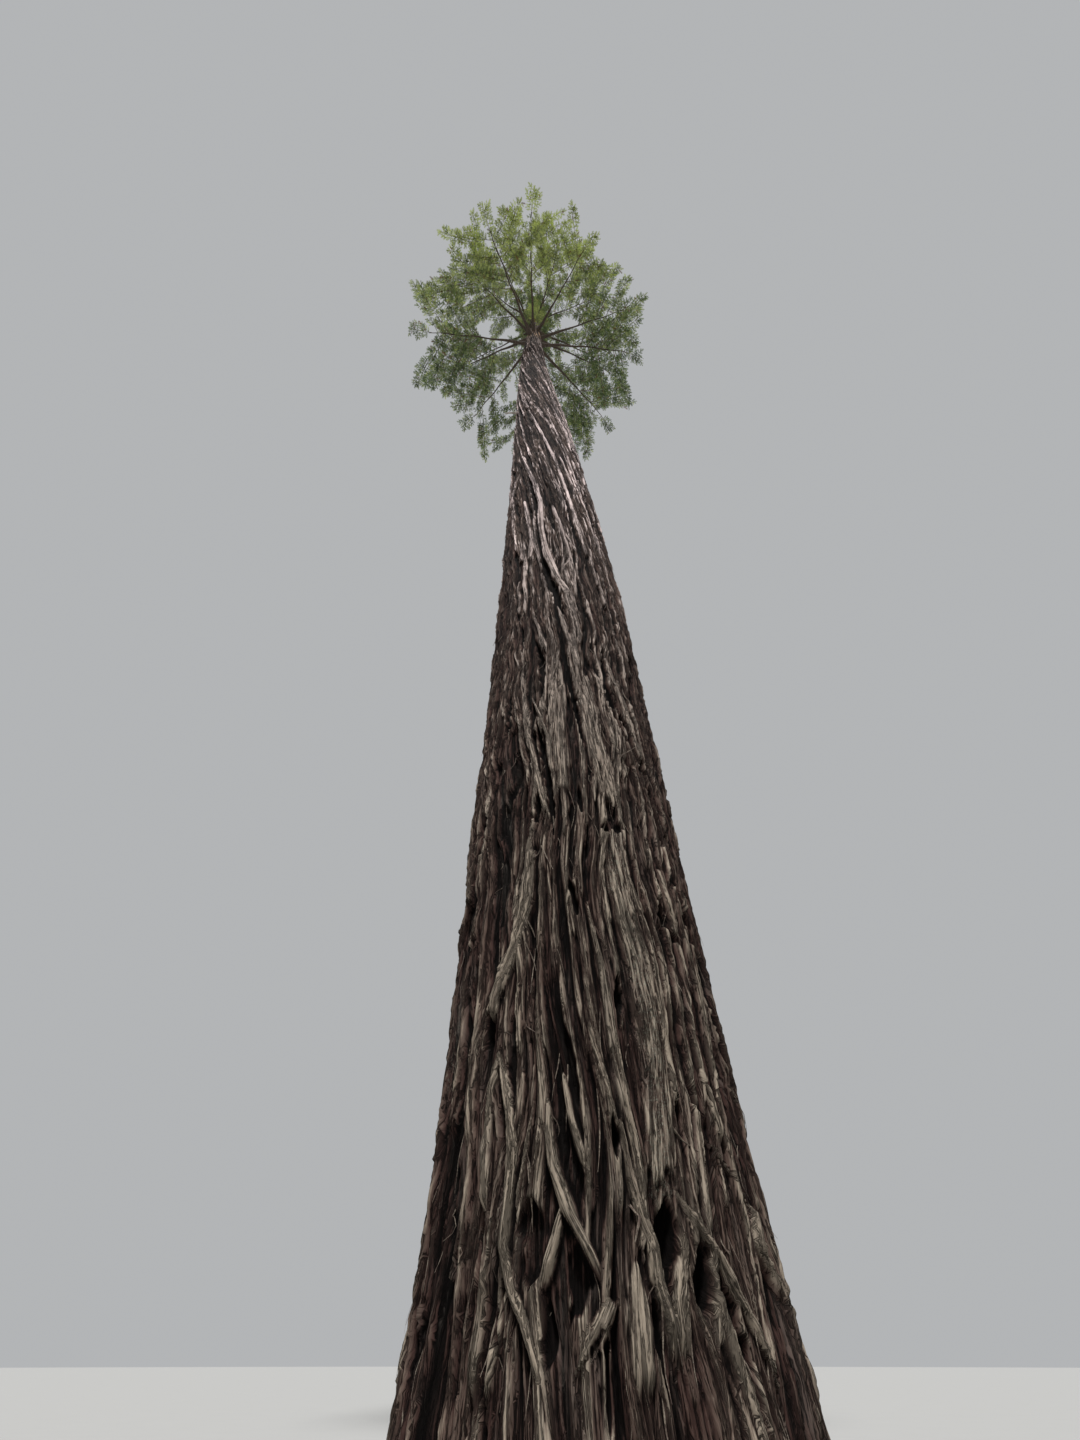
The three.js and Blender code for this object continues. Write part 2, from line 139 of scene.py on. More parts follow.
class RedwoodBarkSettings(bpy.types.PropertyGroup):
    """The furrowed bark"""

    ridges: count("Ridges", "Main ridges round the upper trunk, with twice as many at its foot", 27)
    furrow: length("Furrow depth", "How deep the furrows are under the bole's mean surface", 0.042)
    ridge_width: length("Ridge width", "Mean width of a main ridge", 0.056)
    weave: factor("Weave", "How far ridges wander, as a share of their spacing", 0.5)
    shreds: count("Shreds", "Loose shreds of bark", 900)
    seed: bpy.props.IntProperty(name="Seed", description="Start of the bark's random run", default=11)
    crest_colour: colour("Crest", "Weathered crests of the ridges low down", (0.215, 0.178, 0.138))
    high_colour: colour("High crest", "Paler, pinker crests high up", (0.53, 0.43, 0.415))
    flank_colour: colour("Flank", "Fibres on the sides of the ridges", (0.072, 0.050, 0.040))
    inner_colour: colour("Inner bark", "Red-brown inner bark", (0.034, 0.019, 0.016))
    # Painted shade: the near-black colour at the bottom of the furrows and in hollows, which the cracks and
    # gaps between fibres use too
    furrow_shade_colour: colour("Furrow", "Shaded bottom of the furrows", (0.004, 0.003, 0.0027))
    grey_colour: colour("Grey", "Greyer stretches", (0.125, 0.108, 0.093))
    # Painted sunlight: an orange-brown pool of light on the crests under the lowest boughs
    painted_sunlight_colour: colour("Painted sunlight", "Orange-brown painted sunlight on the crests under the lowest boughs", (0.70, 0.45, 0.28))
    lichen_colour: colour("Lichen", "Grey-green lichen specks", (0.20, 0.195, 0.155))


class RedwoodCrownSettings(bpy.types.PropertyGroup):
    """How the crown's boughs reach, rise and droop"""

    top: length("Top", "Height of the tree", 40.0)
    base: length("Crown base", "Height of the lowest boughs", 22.9)
    reach: length("Reach", "From the trunk's axis to the furthest needles", 3.8)
    fullness: factor("Fullness", "How slowly the reach shrinks upwards", 1.6)
    rounding: factor("Rounding", "How round the crown's shoulder is", 0.9)
    bough_radius_low: length("Low bough radius", "Radius of the lowest boughs", 0.062)
    bough_radius_high: length("High bough radius", "Radius of the highest boughs", 0.030)
    upper_boughs: count("Upper boughs", "Boughs above the lowest whorl", 12)
    leader_shoots: count("Leader shoots", "Slim shoots round the leader", 7)
    limb_colour: colour("Limb", "Dark bark of the limbs", (0.050, 0.036, 0.027))
    limb_crest_colour: colour("Limb crest", "Weathered crests on the limbs", (0.13, 0.10, 0.078))
    dead_colour: colour("Dead wood", "Bleached dead wood", (0.33, 0.29, 0.24))


class RedwoodFoliageSettings(bpy.types.PropertyGroup):
    """The sprays of needles"""

    spray_length: length("Spray length", "Length of one spray of needles", 0.16)
    spray_width: length("Spray width", "Width across a spray's two rows of needles", 0.075)
    spray_gap: length("Spray gap", "Distance between sprays along a twiglet", 0.040)
    twiglet_gap: length("Twiglet gap", "Distance between twiglets along a twig", 0.056)
    hanging_gap: length("Hanging gap", "Distance between the twiglets that hang under a twig", 0.12)
    trunk_shoots: count("Trunk shoots", "Short leafy shoots on the trunk between the boughs", 150)
    sprays: count("Sprays", "Most sprays in the whole crown", 43000)
    seed: bpy.props.IntProperty(name="Seed", description="Start of the foliage's random run", default=77)
    # The needle colours from shade to bright are painted shade and light: the sprays are dealt out among them
    # by the light they get
    shade_colour: colour("Shade", "Needles in the crown's shade", (0.075, 0.115, 0.042))
    green_colour: colour("Green", "Most of the needles", (0.170, 0.228, 0.084))
    olive_colour: colour("Olive", "Older needles in the light", (0.290, 0.335, 0.132))
    bright_colour: colour("Bright", "Young needles in the light", (0.460, 0.525, 0.165))
    brown_colour: colour("Brown", "Dead sprays", (0.190, 0.110, 0.050))


class RedwoodStageSettings(bpy.types.PropertyGroup):
    """Floor, sky and lights"""

    floor_radius: length("Floor radius", "Radius of the round floor", 150.0)
    floor_colour: colour("Floor", "Pale floor", (0.38, 0.376, 0.364))
    sky_colour: colour("Sky", "Even light from all sides", (0.9, 0.92, 0.94))
    sky_strength: factor("Sky strength", "Strength of the even light", 0.5)
    key_strength: factor("Key strength", "Strength of the soft key light", 4.2)
    fill_strength: factor("Fill strength", "Strength of the soft fill light", 0.2)


# The tree's rules, as in its solids

WORD = 2 ** 32
LOW_BITS = WORD - 1


def seeded(seed):
    """The same run of numbers from 0 to 1 for the same seed, as the solids use."""
    state = seed & LOW_BITS
    while True:
        state = (state + 0x6D2B79F5) & LOW_BITS
        t = ((state ^ (state >> 15)) * (state | 1)) & LOW_BITS
        t ^= (t + ((t ^ (t >> 7)) * (t | 61) & LOW_BITS)) & LOW_BITS
        yield ((t ^ (t >> 14)) & LOW_BITS) / WORD


def varied(draw, share):
    return 1 + share * (2 * next(draw) - 1)


def lerp(a, b, t):
    """The value a share of the way from one to another."""
    return a + (b - a) * t


def eased(t):
    """A share from 0 to 1 that starts and ends gently."""
    return t * t * (3 - 2 * t)


def smoothstep(value, low, high):
    """From 0 below one value to 1 above another."""
    return eased(np.clip((value - low) / (high - low), 0.0, 1.0))


def unit(vector):
    return vector / np.linalg.norm(vector)


def turned(vector, axis, angle):
    cos, sin = math.cos(angle), math.sin(angle)
    return vector * cos + np.cross(axis, vector) * sin + axis * np.dot(axis, vector) * (1 - cos)


class Bole:
    """The trunk's smooth shape: its leaning axis and its radius at an angle and a height."""

    BUTTRESS_PHASE = 0.6
    FLUTE_TURN = 0.06

    def __init__(self, trunk):
        self.t = trunk
        straight = trunk.radius - trunk.taper * self.ramp(trunk.height)
        self.ease = trunk.tip_radius - straight

    def ramp(self, z):
        """Metres of height over which the trunk has tapered."""
        t = self.t
        return t.taper_blend * np.log1p(np.exp((z - t.taper_start) / t.taper_blend))

    def axis(self, z):
        return self.t.lean * smoothstep(z, self.t.lean_from, self.t.lean_to)

    def radius(self, z):
        t = self.t
        bole = t.radius - t.taper * self.ramp(z) + self.ease * (z / t.height) ** 4
        return bole + t.flare * np.exp(-z / t.flare_height)

    def surface(self, angle, z):
        t = self.t
        radius = self.radius(z)
        foot = t.buttress_depth * np.exp(-z / t.buttress_height)
        buttress = foot * np.cos(t.buttresses * angle + self.BUTTRESS_PHASE)
        flute = t.flute_depth * radius / t.radius * np.cos(t.flutes * angle + self.FLUTE_TURN * z)
        return radius + buttress + flute


def pairs(pixels):
    """Numbers in a row as pairs of x and y."""
    return zip(pixels[::2], pixels[1::2])


SPOT_ROUNDS = 24
SPOT_STEP = 0.7


def trunk_spot(bole, x, y):
    """Angle and height where a pixel's ray meets the trunk, and metres that the pixel spans."""
    up = FRAME_HEIGHT / 2 - y
    cos, sin = math.cos(CAMERA_RISE), math.sin(CAMERA_RISE)
    ray = np.array([x - FRAME_WIDTH / 2, FOCAL_PIXELS * cos - up * sin, FOCAL_PIXELS * sin + up * cos])
    start = np.array(CAMERA_PLACE)
    angle, z = -math.pi / 2, start[2] + 1.0
    for _ in range(SPOT_ROUNDS):
        z = max(z, 0.0)
        centre = np.array([float(bole.axis(z)), 0.0])
        radius = float(bole.surface(angle, z))
        off = start[:2] - centre
        a = ray[0] ** 2 + ray[1] ** 2
        b = np.dot(off, ray[:2])
        c = np.dot(off, off) - radius ** 2
        share = (-b - math.sqrt(max(b * b - a * c, 0.0))) / a
        place = start + ray * share
        angle = math.atan2(place[1], place[0] - centre[0])
        z = lerp(z, place[2], SPOT_STEP)
    return angle, z, share


# Seamless noise for arrays

# Large odd factors that mix the bits of whole numbers
AXIS_FACTORS = (374761393, 668265263, 2246822519)
SEED_FACTOR = 3266489917
MIXING = ((15, 2654435761), (13, 1274126177))
LAST_SHIFT = 16


def lattice(ix, iy, iz, seed):
    """A fixed random number from 0 to 1 for each whole-numbered place."""
    mixed = np.uint32(seed * SEED_FACTOR & LOW_BITS)
    for index, large in zip((ix, iy, iz), AXIS_FACTORS):
        mixed = mixed + index.astype(np.uint32) * np.uint32(large)
    for shift, large in MIXING:
        mixed ^= mixed >> np.uint32(shift)
        mixed *= np.uint32(large)
    mixed ^= mixed >> np.uint32(LAST_SHIFT)
    return mixed.astype(np.float64) / WORD


def noise(x, y, z, seed=0):
    """Smooth value noise from 0 to 1."""
    x, y, z = np.broadcast_arrays(x, y, z)
    corner = [np.floor(v).astype(np.int64) for v in (x, y, z)]
    fx, fy, fz = [eased(v - c) for v, c in zip((x, y, z), corner)]
    total = 0.0
    for dx, wx in ((0, 1 - fx), (1, fx)):
        for dy, wy in ((0, 1 - fy), (1, fy)):
            for dz, wz in ((0, 1 - fz), (1, fz)):
                total = total + wx * wy * wz * lattice(corner[0] + dx, corner[1] + dy, corner[2] + dz, seed)
    return total


# Bark

# Ridges that stand out in the view: middle line as x and y in turn, in pixels of the frame from the top
# down, width in pixels, metres that the crest stands out, and whether the lower end is torn
KNOWN_RIDGES = (
    ((500, 1052, 492, 1092, 486, 1150, 485, 1204, 489, 1240), 9, 0.018, False),
    ((499, 1048, 508, 1100, 513, 1150, 509, 1200, 505, 1246, 511, 1290, 524, 1322,
      535, 1362, 547, 1430), 9, 0.022, False),
    ((560, 1208, 553, 1243, 544, 1276, 527, 1320), 10, 0.020, False),
    ((484, 1266, 481, 1310, 476, 1350, 470, 1400, 470, 1440), 13, 0.012, False),
    ((562, 1070, 571, 1117, 584, 1163, 593, 1192), 8, 0.016, True),
    ((548, 1100, 549, 1132, 553, 1165, 570, 1215, 588, 1248, 604, 1283, 611, 1306),
     12, 0.018, False),
    ((612, 1298, 604, 1318, 588, 1350, 571, 1385), 22, 0.012, True),
    ((620, 1118, 631, 1177, 642, 1215, 653, 1243, 659, 1281, 671, 1318, 684, 1392),
     9, 0.020, False),
    ((633, 1202, 638, 1218, 634, 1246), 6, 0.022, False),
    ((612, 828, 617, 870, 627, 920, 640, 965, 650, 1010, 656, 1060, 658, 1120, 662, 1204),
     33, 0.006, True),
    ((676, 1192, 697, 1227, 719, 1257, 733, 1288, 749, 1318, 763, 1352, 779, 1388,
      792, 1430), 10, 0.024, False),
    ((708, 1140, 732, 1178, 751, 1210, 765, 1244, 777, 1280, 790, 1340), 9, 0.018, False),
    ((704, 1080, 718, 1128, 725, 1162), 14, 0.014, True),
    ((636, 1262, 640, 1320, 644, 1380, 648, 1440), 22, 0.012, False),
    ((686, 1232, 684, 1262, 682, 1300, 688, 1350, 696, 1410), 13, 0.006, False),
    ((716, 1300, 722, 1350, 726, 1396), 13, 0.008, False),
    ((530, 840, 526, 900, 514, 950, 496, 996, 488, 1030), 13, 0.020, True),
    ((658, 868, 668, 905, 683, 950), 7, 0.018, False),
    ((522, 456, 533, 480, 540, 502, 541, 530, 546, 553, 557, 576, 571, 598), 7, 0.016, True),
    ((531, 414, 541, 432, 552, 452, 562, 478, 571, 505, 580, 534, 588, 558), 5, 0.010, False),
    ((546, 412, 556, 432, 566, 454, 575, 480, 586, 512), 4, 0.010, False),
    ((519, 474, 514, 492, 511, 512), 5, 0.012, True),
    ((552, 504, 560, 524, 567, 546, 573, 572, 577, 600), 6, 0.012, False),
    ((524, 500, 528, 520, 532, 540, 529, 562), 6, 0.010, True),
    ((576, 664, 584, 684, 591, 706, 597, 736, 606, 772, 616, 812), 21, 0.004, True),
    ((590, 664, 597, 680, 604, 700), 5, 0.016, True),
    ((609, 666, 617, 690, 626, 716, 636, 744, 644, 770), 6, 0.016, True),
    ((531, 696, 540, 716, 548, 738, 551, 758), 5, 0.018, True),
    ((551, 640, 555, 680, 558, 720, 561, 760, 563, 800), 20, 0.002, False),
    ((558, 606, 566, 630, 573, 652, 580, 672), 6, 0.014, True),
    ((532, 612, 541, 634, 548, 654), 6, 0.012, True),
    ((527, 728, 534, 760, 541, 792, 548, 822), 7, 0.010, True),
    ((612, 872, 622, 920, 634, 968), 8, 0.018, True),
)
# Furrows and hollows that stand out: middle line, width in pixels, depth in metres
KNOWN_FURROWS = (
    ((564, 1022, 571, 1062, 578, 1104), 11, 0.054),
    ((613, 1114, 617, 1136, 617, 1160), 8, 0.054),
    ((668, 1196, 668, 1240, 670, 1274, 672, 1304), 27, 0.072),
    ((604, 1308, 608, 1369, 611, 1440), 8, 0.054),
    ((700, 1236, 706, 1276, 708, 1320), 17, 0.060),
    ((716, 1268, 734, 1312, 750, 1360, 764, 1416), 17, 0.060),
    ((680, 1050, 690, 1082, 700, 1118), 8, 0.048),
    ((606, 676, 618, 708, 636, 748, 650, 792, 662, 836, 674, 880), 9, 0.054),
    ((660, 896, 667, 922, 681, 950), 14, 0.060),
    ((606, 820, 606, 832), 9, 0.042),
    ((619, 820, 619, 832), 9, 0.042),
    ((538, 792, 537, 808, 534, 822), 7, 0.048),
    ((572, 798, 571, 820), 6, 0.048),
    ((569, 876, 574, 896, 578, 914), 8, 0.052),
    ((534, 866, 534, 890), 7, 0.048),
    ((618, 974, 620, 1000, 621, 1026), 9, 0.054),
    ((487, 802, 484, 830, 480, 862), 14, 0.044),
    ((494, 1284, 495, 1320, 494, 1352), 10, 0.046),
    ((560, 1110, 566, 1150, 562, 1180), 7, 0.044),
    ((566, 1250, 574, 1300, 568, 1330), 9, 0.044),
    ((602, 646, 606, 680, 612, 705, 621, 728, 634, 754), 10, 0.056),
    ((540, 546, 547, 571, 556, 593, 563, 616), 11, 0.060),
    ((526, 466, 532, 490, 537, 512, 538, 546), 5, 0.050),
    ((549, 500, 551, 514, 554, 530), 6, 0.050),
    ((578, 482, 586, 502, 593, 522, 601, 550, 612, 580), 6, 0.056),
    ((563, 492, 570, 512, 577, 534, 584, 554), 5, 0.048),
    ((560, 628, 564, 650, 570, 680, 578, 714, 584, 748), 6, 0.054),
    ((584, 650, 590, 664, 595, 678), 5, 0.054),
    ((534, 638, 541, 656, 542, 680, 541, 702), 8, 0.056),
    ((521, 624, 522, 652), 5, 0.050),
    ((509, 690, 508, 716, 505, 742), 7, 0.050),
    ((536, 720, 541, 745, 547, 775, 551, 802, 553, 834), 8, 0.054),
    ((520, 766, 510, 790, 503, 815, 496, 842), 8, 0.052),
    ((579, 784, 582, 812), 6, 0.046),
    ((530, 1196, 531, 1240, 528, 1288), 30, 0.035),
    ((546, 1300, 549, 1335, 546, 1372), 14, 0.050),
    ((576, 1240, 582, 1280, 578, 1318), 24, 0.046),
    ((655, 1296, 662, 1340, 672, 1400), 10, 0.050),
    # This furrow along the trunk's right flank stands in for that flank's shade: its floor takes the painted
    # shade of the furrow colour
    ((661, 800, 674, 884, 699, 963, 721, 1038, 731, 1090), 15, 0.066),
)
# Patches of lichen: middle line and width in pixels
KNOWN_LICHEN = (
    ((616, 832, 616, 892), 24),
    ((624, 900, 632, 940, 638, 972), 22),
    ((634, 950, 648, 1010, 656, 1060, 658, 1120, 661, 1198), 30),
)
# Loose shreds: line from the held end to the free end, width in pixels, metres that the end stands off
KNOWN_SHREDS = (
    ((671, 1127, 683, 1141, 697, 1152), 4, 0.030),
    ((631, 1204, 638, 1218, 634, 1243), 6, 0.022),
    ((527, 920, 530, 928, 534, 936), 3, 0.020),
    ((525, 942, 531, 958, 538, 973), 4, 0.024),
    ((525, 1025, 532, 1030, 541, 1037), 3, 0.030),
    ((541, 845, 547, 858, 554, 872), 3, 0.022),
    ((619, 758, 624, 755, 630, 752), 5, 0.040),
)


class Strip(NamedTuple):
    """One strip of bark fibres that runs with the grain, in metres and radians."""

    low: float
    high: float
    angle: float
    slant: float
    width: float
    lift: float
    tone: float
    torn: bool


class Kind(NamedTuple):
    """A kind of strip: how many on a square metre, and the least and most of its sizes."""

    many: float
    width: tuple
    length: tuple
    lift: tuple
    slant: float
    torn: float
    top: float


# Broad plates, flakes on them, thin strips that cross, strands and slits, and slabs above the foot
PLATES = Kind(9.0, (0.06, 0.12), (0.7, 2.4), (-0.022, -0.010), 0.012, 0.4, 40.0)
FLAKES = Kind(120.0, (0.013, 0.034), (0.16, 0.85), (0.004, 0.014), 0.05, 0.35, 40.0)
CROSSING = Kind(13.0, (0.015, 0.030), (0.3, 0.95), (0.008, 0.018), 0.17, 0.3, 18.0)
STRANDS = Kind(430.0, (0.006, 0.014), (0.07, 0.4), (0.002, 0.006), 0.07, 0.0, 20.0)
SLITS = Kind(46.0, (0.006, 0.014), (0.06, 0.42), (0.010, 0.024), 0.03, 0.0, 30.0)
SLABS = Kind(1.7, (0.07, 0.13), (1.2, 3.2), (-0.001, 0.010), 0.03, 0.6, 26.0)
SLAB_LOWEST = 2.4
MOST_SLANT = 1.7
STREWN_STEP = 0.25
# The main ridges, and the slimmer ones between them that end low down
RIDGE_SPANS = (0.5, 2.1)
RIDGE_STEPS = (0.45, 0.95)
RIDGE_WIDTHS = (0.55, 1.3)
RIDGE_LIFTS = (-0.012, 0.010)
RIDGE_TONES = (0.3, 1.0)
RIDGE_SLANT = 0.02
RIDGE_ASIDE = 0.2
RIDGE_TORN = 0.4
RIDGE_WIDER = 0.35
BETWEEN_TOPS = (4.5, 8.0)
BETWEEN_WIDTH = 0.7
# Heights in metres, and how much larger strips and how much longer ridges are there
COARSER_AT = ((4.0, 8.0, 18.0, 30.0), (1.0, 1.35, 2.3, 3.0))
LONGER_AT = ((3.0, 6.0, 10.0, 16.0, 26.0), (1.0, 1.5, 2.6, 4.0, 5.0))


def coarseness(z):
    return np.interp(z, *COARSER_AT)


def strips_of(kind, bole, rng):
    """Strips of one kind, strewn evenly over the trunk."""
    strips = []
    z = -2 * STREWN_STEP
    while z < bole.t.height:
        radius = float(bole.radius(max(z, 0.0)))
        coarse = coarseness(z)
        wanted = kind.many * TURN * radius * STREWN_STEP / coarse ** 1.6 if z < kind.top else 0.0
        for _ in range(int(wanted + rng.random())):
            low = z + rng.uniform(0, STREWN_STEP)
            span = rng.uniform(*kind.length) * coarse ** 0.6
            width = rng.uniform(*kind.width) * coarse * (radius / bole.t.radius) ** 0.5
            angle = rng.uniform(-math.pi, math.pi)
            slant = kind.slant * float(np.clip(rng.normal(), -MOST_SLANT, MOST_SLANT))
            lift = rng.uniform(*kind.lift)
            tone = rng.uniform(0.0, 1.0)
            strips.append(Strip(low, low + span, angle, slant, width, lift, tone, rng.random() < kind.torn))
        z += STREWN_STEP
    return strips


def ridges_of(look, bole, rng):
    """The main ridges in overlapping lengths, and the slimmer ones between them near the foot."""
    strips = []
    for i in range(2 * look.ridges):
        z = -1.0 - rng.uniform(0, 1.0)
        between = i % 2 == 1
        top = rng.uniform(*BETWEEN_TOPS) if between else bole.t.height
        while z < top:
            slim = float(bole.radius(max(z, 0.0))) / bole.t.radius
            wide = slim * (BETWEEN_WIDTH if between else 1.0 + RIDGE_WIDER * float(smoothstep(z, 4.5, 9.0)))
            span = rng.uniform(*RIDGE_SPANS) * float(np.interp(z, *LONGER_AT))
            angle = (0.5 * i + rng.uniform(-RIDGE_ASIDE, RIDGE_ASIDE)) / look.ridges * TURN - math.pi
            slant = rng.normal(0, RIDGE_SLANT)
            width = look.ridge_width * rng.uniform(*RIDGE_WIDTHS) * wide
            lift = rng.uniform(*RIDGE_LIFTS)
            tone = rng.uniform(*RIDGE_TONES)
            strips.append(Strip(z, z + span, angle, slant, width, lift, tone, rng.random() < RIDGE_TORN))
            z += span * rng.uniform(*RIDGE_STEPS)
    return strips


class Bark:
    """Relief, tone and lichen of the bark on a grid of heights by angles, made of overlapping strips."""

    # The grid: columns for each mesh column, rows past each end, and how much closer they are in front
    FINER = 2
    MARGIN = 8
    DENSE_FRONT = 0.34
    # The grain: waves as a share of the weave and radians a metre, how it calms down, and its slow twist
    WAVES = ((0.62, 1.9), (0.34, 4.6), (0.16, 10.5))
    CALMER = 0.8
    TWIST = 0.16
    TWIST_FROM = 5.5
    TWIST_BLEND = 1.5
    # Traced ridges: the wide ones are darker plates, and the others are wider low down
    PLATE_PIXELS = 30
    PLATE_BRIGHT = 0.45
    KNOWN_WIDER = 1.5
    DULLER = 0.6
    # Scales of fibres: width, length, depth, share high up, what low down adds to it, and seed
    SCALES = (
        (0.008, 0.12, 0.0055, 0.0, 1.0, 20),
        (0.015, 0.26, 0.0085, 0.5, 0.5, 30),
        (0.034, 0.60, 0.0120, 1.0, -0.7, 40),
    )
    FLOOR_VARIES = 0.018
    # How much tone the trunk's left and right flanks lose low down, as painted shade
    PAINTED_SIDE_SHADE = 0.9
    LOWEST, HIGHEST = -0.078, 0.032
    # Gain of the edge term, which the material turns into painted shade in hollows and lighter bulges
    EDGE_GAIN = 70

    def __init__(self, bole, look, heights, columns):
        self.bole, self.look, self.heights, self.columns = bole, look, heights, columns * self.FINER
        turn = (np.arange(self.columns) + 0.5) / self.columns * TURN - math.pi
        self.angles = turn - self.DENSE_FRONT * np.cos(turn)
        self.wide = np.concatenate([self.angles - TURN, self.angles, self.angles + TURN])
        self.radius = bole.radius(heights)
        self.slim = (self.radius / bole.t.radius).clip(0.02, 1.0) ** 0.85
        rng = np.random.default_rng(look.seed)
        n = look.ridges
        self.waves = []
        for share, rate in self.WAVES:
            size, phase = rng.uniform(0.6, 1.0, n) * share, rng.uniform(0, TURN, n)
            self.waves.append((size, phase, rate * rng.uniform(0.8, 1.2, n)))
        angle, z = self.angles[None, :], heights[:, None]
        self.grain = angle - self.weave(angle, z)
        self.fibre_radius = np.minimum(self.radius, bole.t.radius)
        r = self.fibre_radius[:, None]
        self.around = (r * np.cos(self.grain), r * np.sin(self.grain), z + 0 * self.grain)
        self.relief = -look.furrow + self.FLOOR_VARIES * self.fibre_noise(0.06, 0.5, 5)
        self.tone = 0.2 + 0.4 * self.fibre_noise(0.06, 0.4, 6)
        self.lichen = np.zeros_like(self.grain)

    def fibre_noise(self, across, along, seed):
        """Noise drawn out along the fibres, in metres across and along."""
        gx, gy, gz = self.around
        return noise(gx / across, gy / across, gz / along, seed)

    def weave(self, angle, z):
        """How far the fibres at an angle and a height have wandered, in radians."""
        n = self.look.ridges
        place = np.mod(angle / TURN * n, n)
        near = np.floor(place).astype(int) % n
        part = eased(place - np.floor(place))

        def wandered(i):
            return sum(size[i] * np.sin(z * rate[i] + phase[i]) for size, phase, rate in self.waves)
        drift = wandered(near) * (1 - part) + wandered((near + 1) % n) * part
        calm = 1 - self.CALMER * smoothstep(z, 2.5, 9.0)
        twist = -self.TWIST * self.TWIST_BLEND * np.log1p(np.exp((z - self.TWIST_FROM) / self.TWIST_BLEND))
        return drift * calm * self.look.weave * TURN / n + twist

    def window(self, low, high, centre_of, half_of):
        """The rows and columns that a strip covers, and how far across it each is, from -1 to 1."""
        bottom, top = np.searchsorted(self.heights, (low, high))
        if top == bottom:
            return None
        z = self.heights[bottom:top]
        centre, half = centre_of(z), half_of(z) / self.radius[bottom:top]
        centre = centre - round(float(centre.mean()) / TURN) * TURN
        first, last = np.searchsorted(self.wide, ((centre - half).min(), (centre + half).max()))
        if first == last:
            return None
        spots = np.arange(first, last)
        across = (self.wide[spots][None, :] - centre[:, None]) / np.maximum(half[:, None], 1e-5)
        block = (np.arange(bottom, top)[:, None], spots[None, :] % self.columns)
        return block, z[:, None], across

    def follow(self, strip):
        """The line that a strip takes: the grain's, with a slant of its own."""
        middle = 0.5 * (strip.low + strip.high)
        radius = float(self.bole.radius(max(middle, 0.0)))

        def centre_of(z):
            drift = self.weave(np.full_like(z, strip.angle), z)
            return strip.angle + drift + strip.slant * (z - middle) / radius
        return centre_of

    def put(self, block, made, tone, strip, centre_of, aside):
        """Keeps what stands above the bark so far, with fibres that run along the strip."""
        over = made > self.relief[block]
        middle = np.array([0.5 * (strip.low + strip.high)])
        centre = centre_of(middle)
        way = float((centre - self.weave(centre, middle))[0])
        cos, sin = math.cos(way), math.sin(way)
        radius = self.fibre_radius[block[0]]
        fibres = (radius * cos - sin * aside, radius * sin + cos * aside)
        for grid, new in ((self.relief, made), (self.tone, tone), *zip(self.around, fibres)):
            grid[block] = np.where(over, new, grid[block])

    def lay(self, strip, centre_of=None, square=4.0, arch=0.005, head=0.35, dive=0.012):
        """Lays a ridge: it dives under at its top and stands proud, torn or pointed, at its foot.

        A higher square makes its top flatter. It arches up by arch, narrows over head and dives by dive.
        """
        span = strip.high - strip.low
        foot_length = min(0.05 if strip.torn else 0.86 * head, span / 3)
        head_length = min(head, span / 2.2)

        def half_of(z):
            foot = np.clip((z - strip.low) / foot_length, 0.0, 1.0) ** 0.5
            head = np.clip((strip.high - z) / head_length, 0.0, 1.0) ** 0.6
            frayed = 0.72 + 0.5 * noise(z / 0.07, 50 * strip.tone + 0 * z, 900 * strip.lift + 0 * z, 4)
            return 0.5 * strip.width * (0.12 + 0.88 * foot * head) * frayed
        centre_of = centre_of or self.follow(strip)
        found = self.window(strip.low, strip.high, centre_of, half_of)
        if found is None:
            return
        block, z, across = found
        across = across.clip(-1.2, 1.2)
        side = (1 - np.abs(across) ** square).clip(0, 1) ** 0.6
        up = z - strip.low
        sunk = dive * (1 - np.clip((strip.high - z) / (0.5 * span), 0, 1) ** 0.5)
        crest = strip.lift + arch * (1 - across ** 2) - sunk
        if strip.torn:
            ragged = 0.10 * noise(across * strip.width / 0.008, 0 * across, 0 * across + strip.lift * 9000, 9)
            foot = np.clip((up - ragged) / 0.012, 0.0, 1.0)
            crest = crest + 0.007 * np.exp(-up / 0.09)
        else:
            foot = np.clip(up / 0.1, 0.0, 1.0)
        made = -self.look.furrow + (crest + self.look.furrow) * side * foot
        made[(side <= 0) | (foot <= 0)] = -1.0
        self.put(block, made, strip.tone, strip, centre_of, across * half_of(z))

    def shingle(self, strip, under):
        """Lays a flake on what is there: flush at its top, standing off at its foot."""
        span = strip.high - strip.low

        def half_of(z):
            share = (z - strip.low) / span
            foot = np.clip(share / (0.08 if strip.torn else 0.35), 0.0, 1.0) ** 0.6
            return 0.5 * strip.width * (0.1 + 0.9 * foot * np.clip((1 - share) / 0.3, 0.0, 1.0) ** 0.6)
        centre_of = self.follow(strip)
        found = self.window(strip.low, strip.high, centre_of, half_of)
        if found is None:
            return
        block, z, across = found
        side = np.clip(1 - np.abs(across) ** 4, 0, 1) ** 0.5
        share = (strip.high - z) / span
        tilt = 0.3 * (strip.tone - 0.5) * across
        made = under[block] + strip.lift * (0.25 + 0.75 * share) * (side + tilt * side)
        made[side <= 0] = -1.0
        tone = 0.5 * strip.tone + 0.5 * self.tone[block]
        self.put(block, made, tone, strip, centre_of, across * half_of(z))

    def strand(self, strip, sign=1.0):
        """Adds a thin strand, or takes a slit away, along the grain."""
        span = strip.high - strip.low

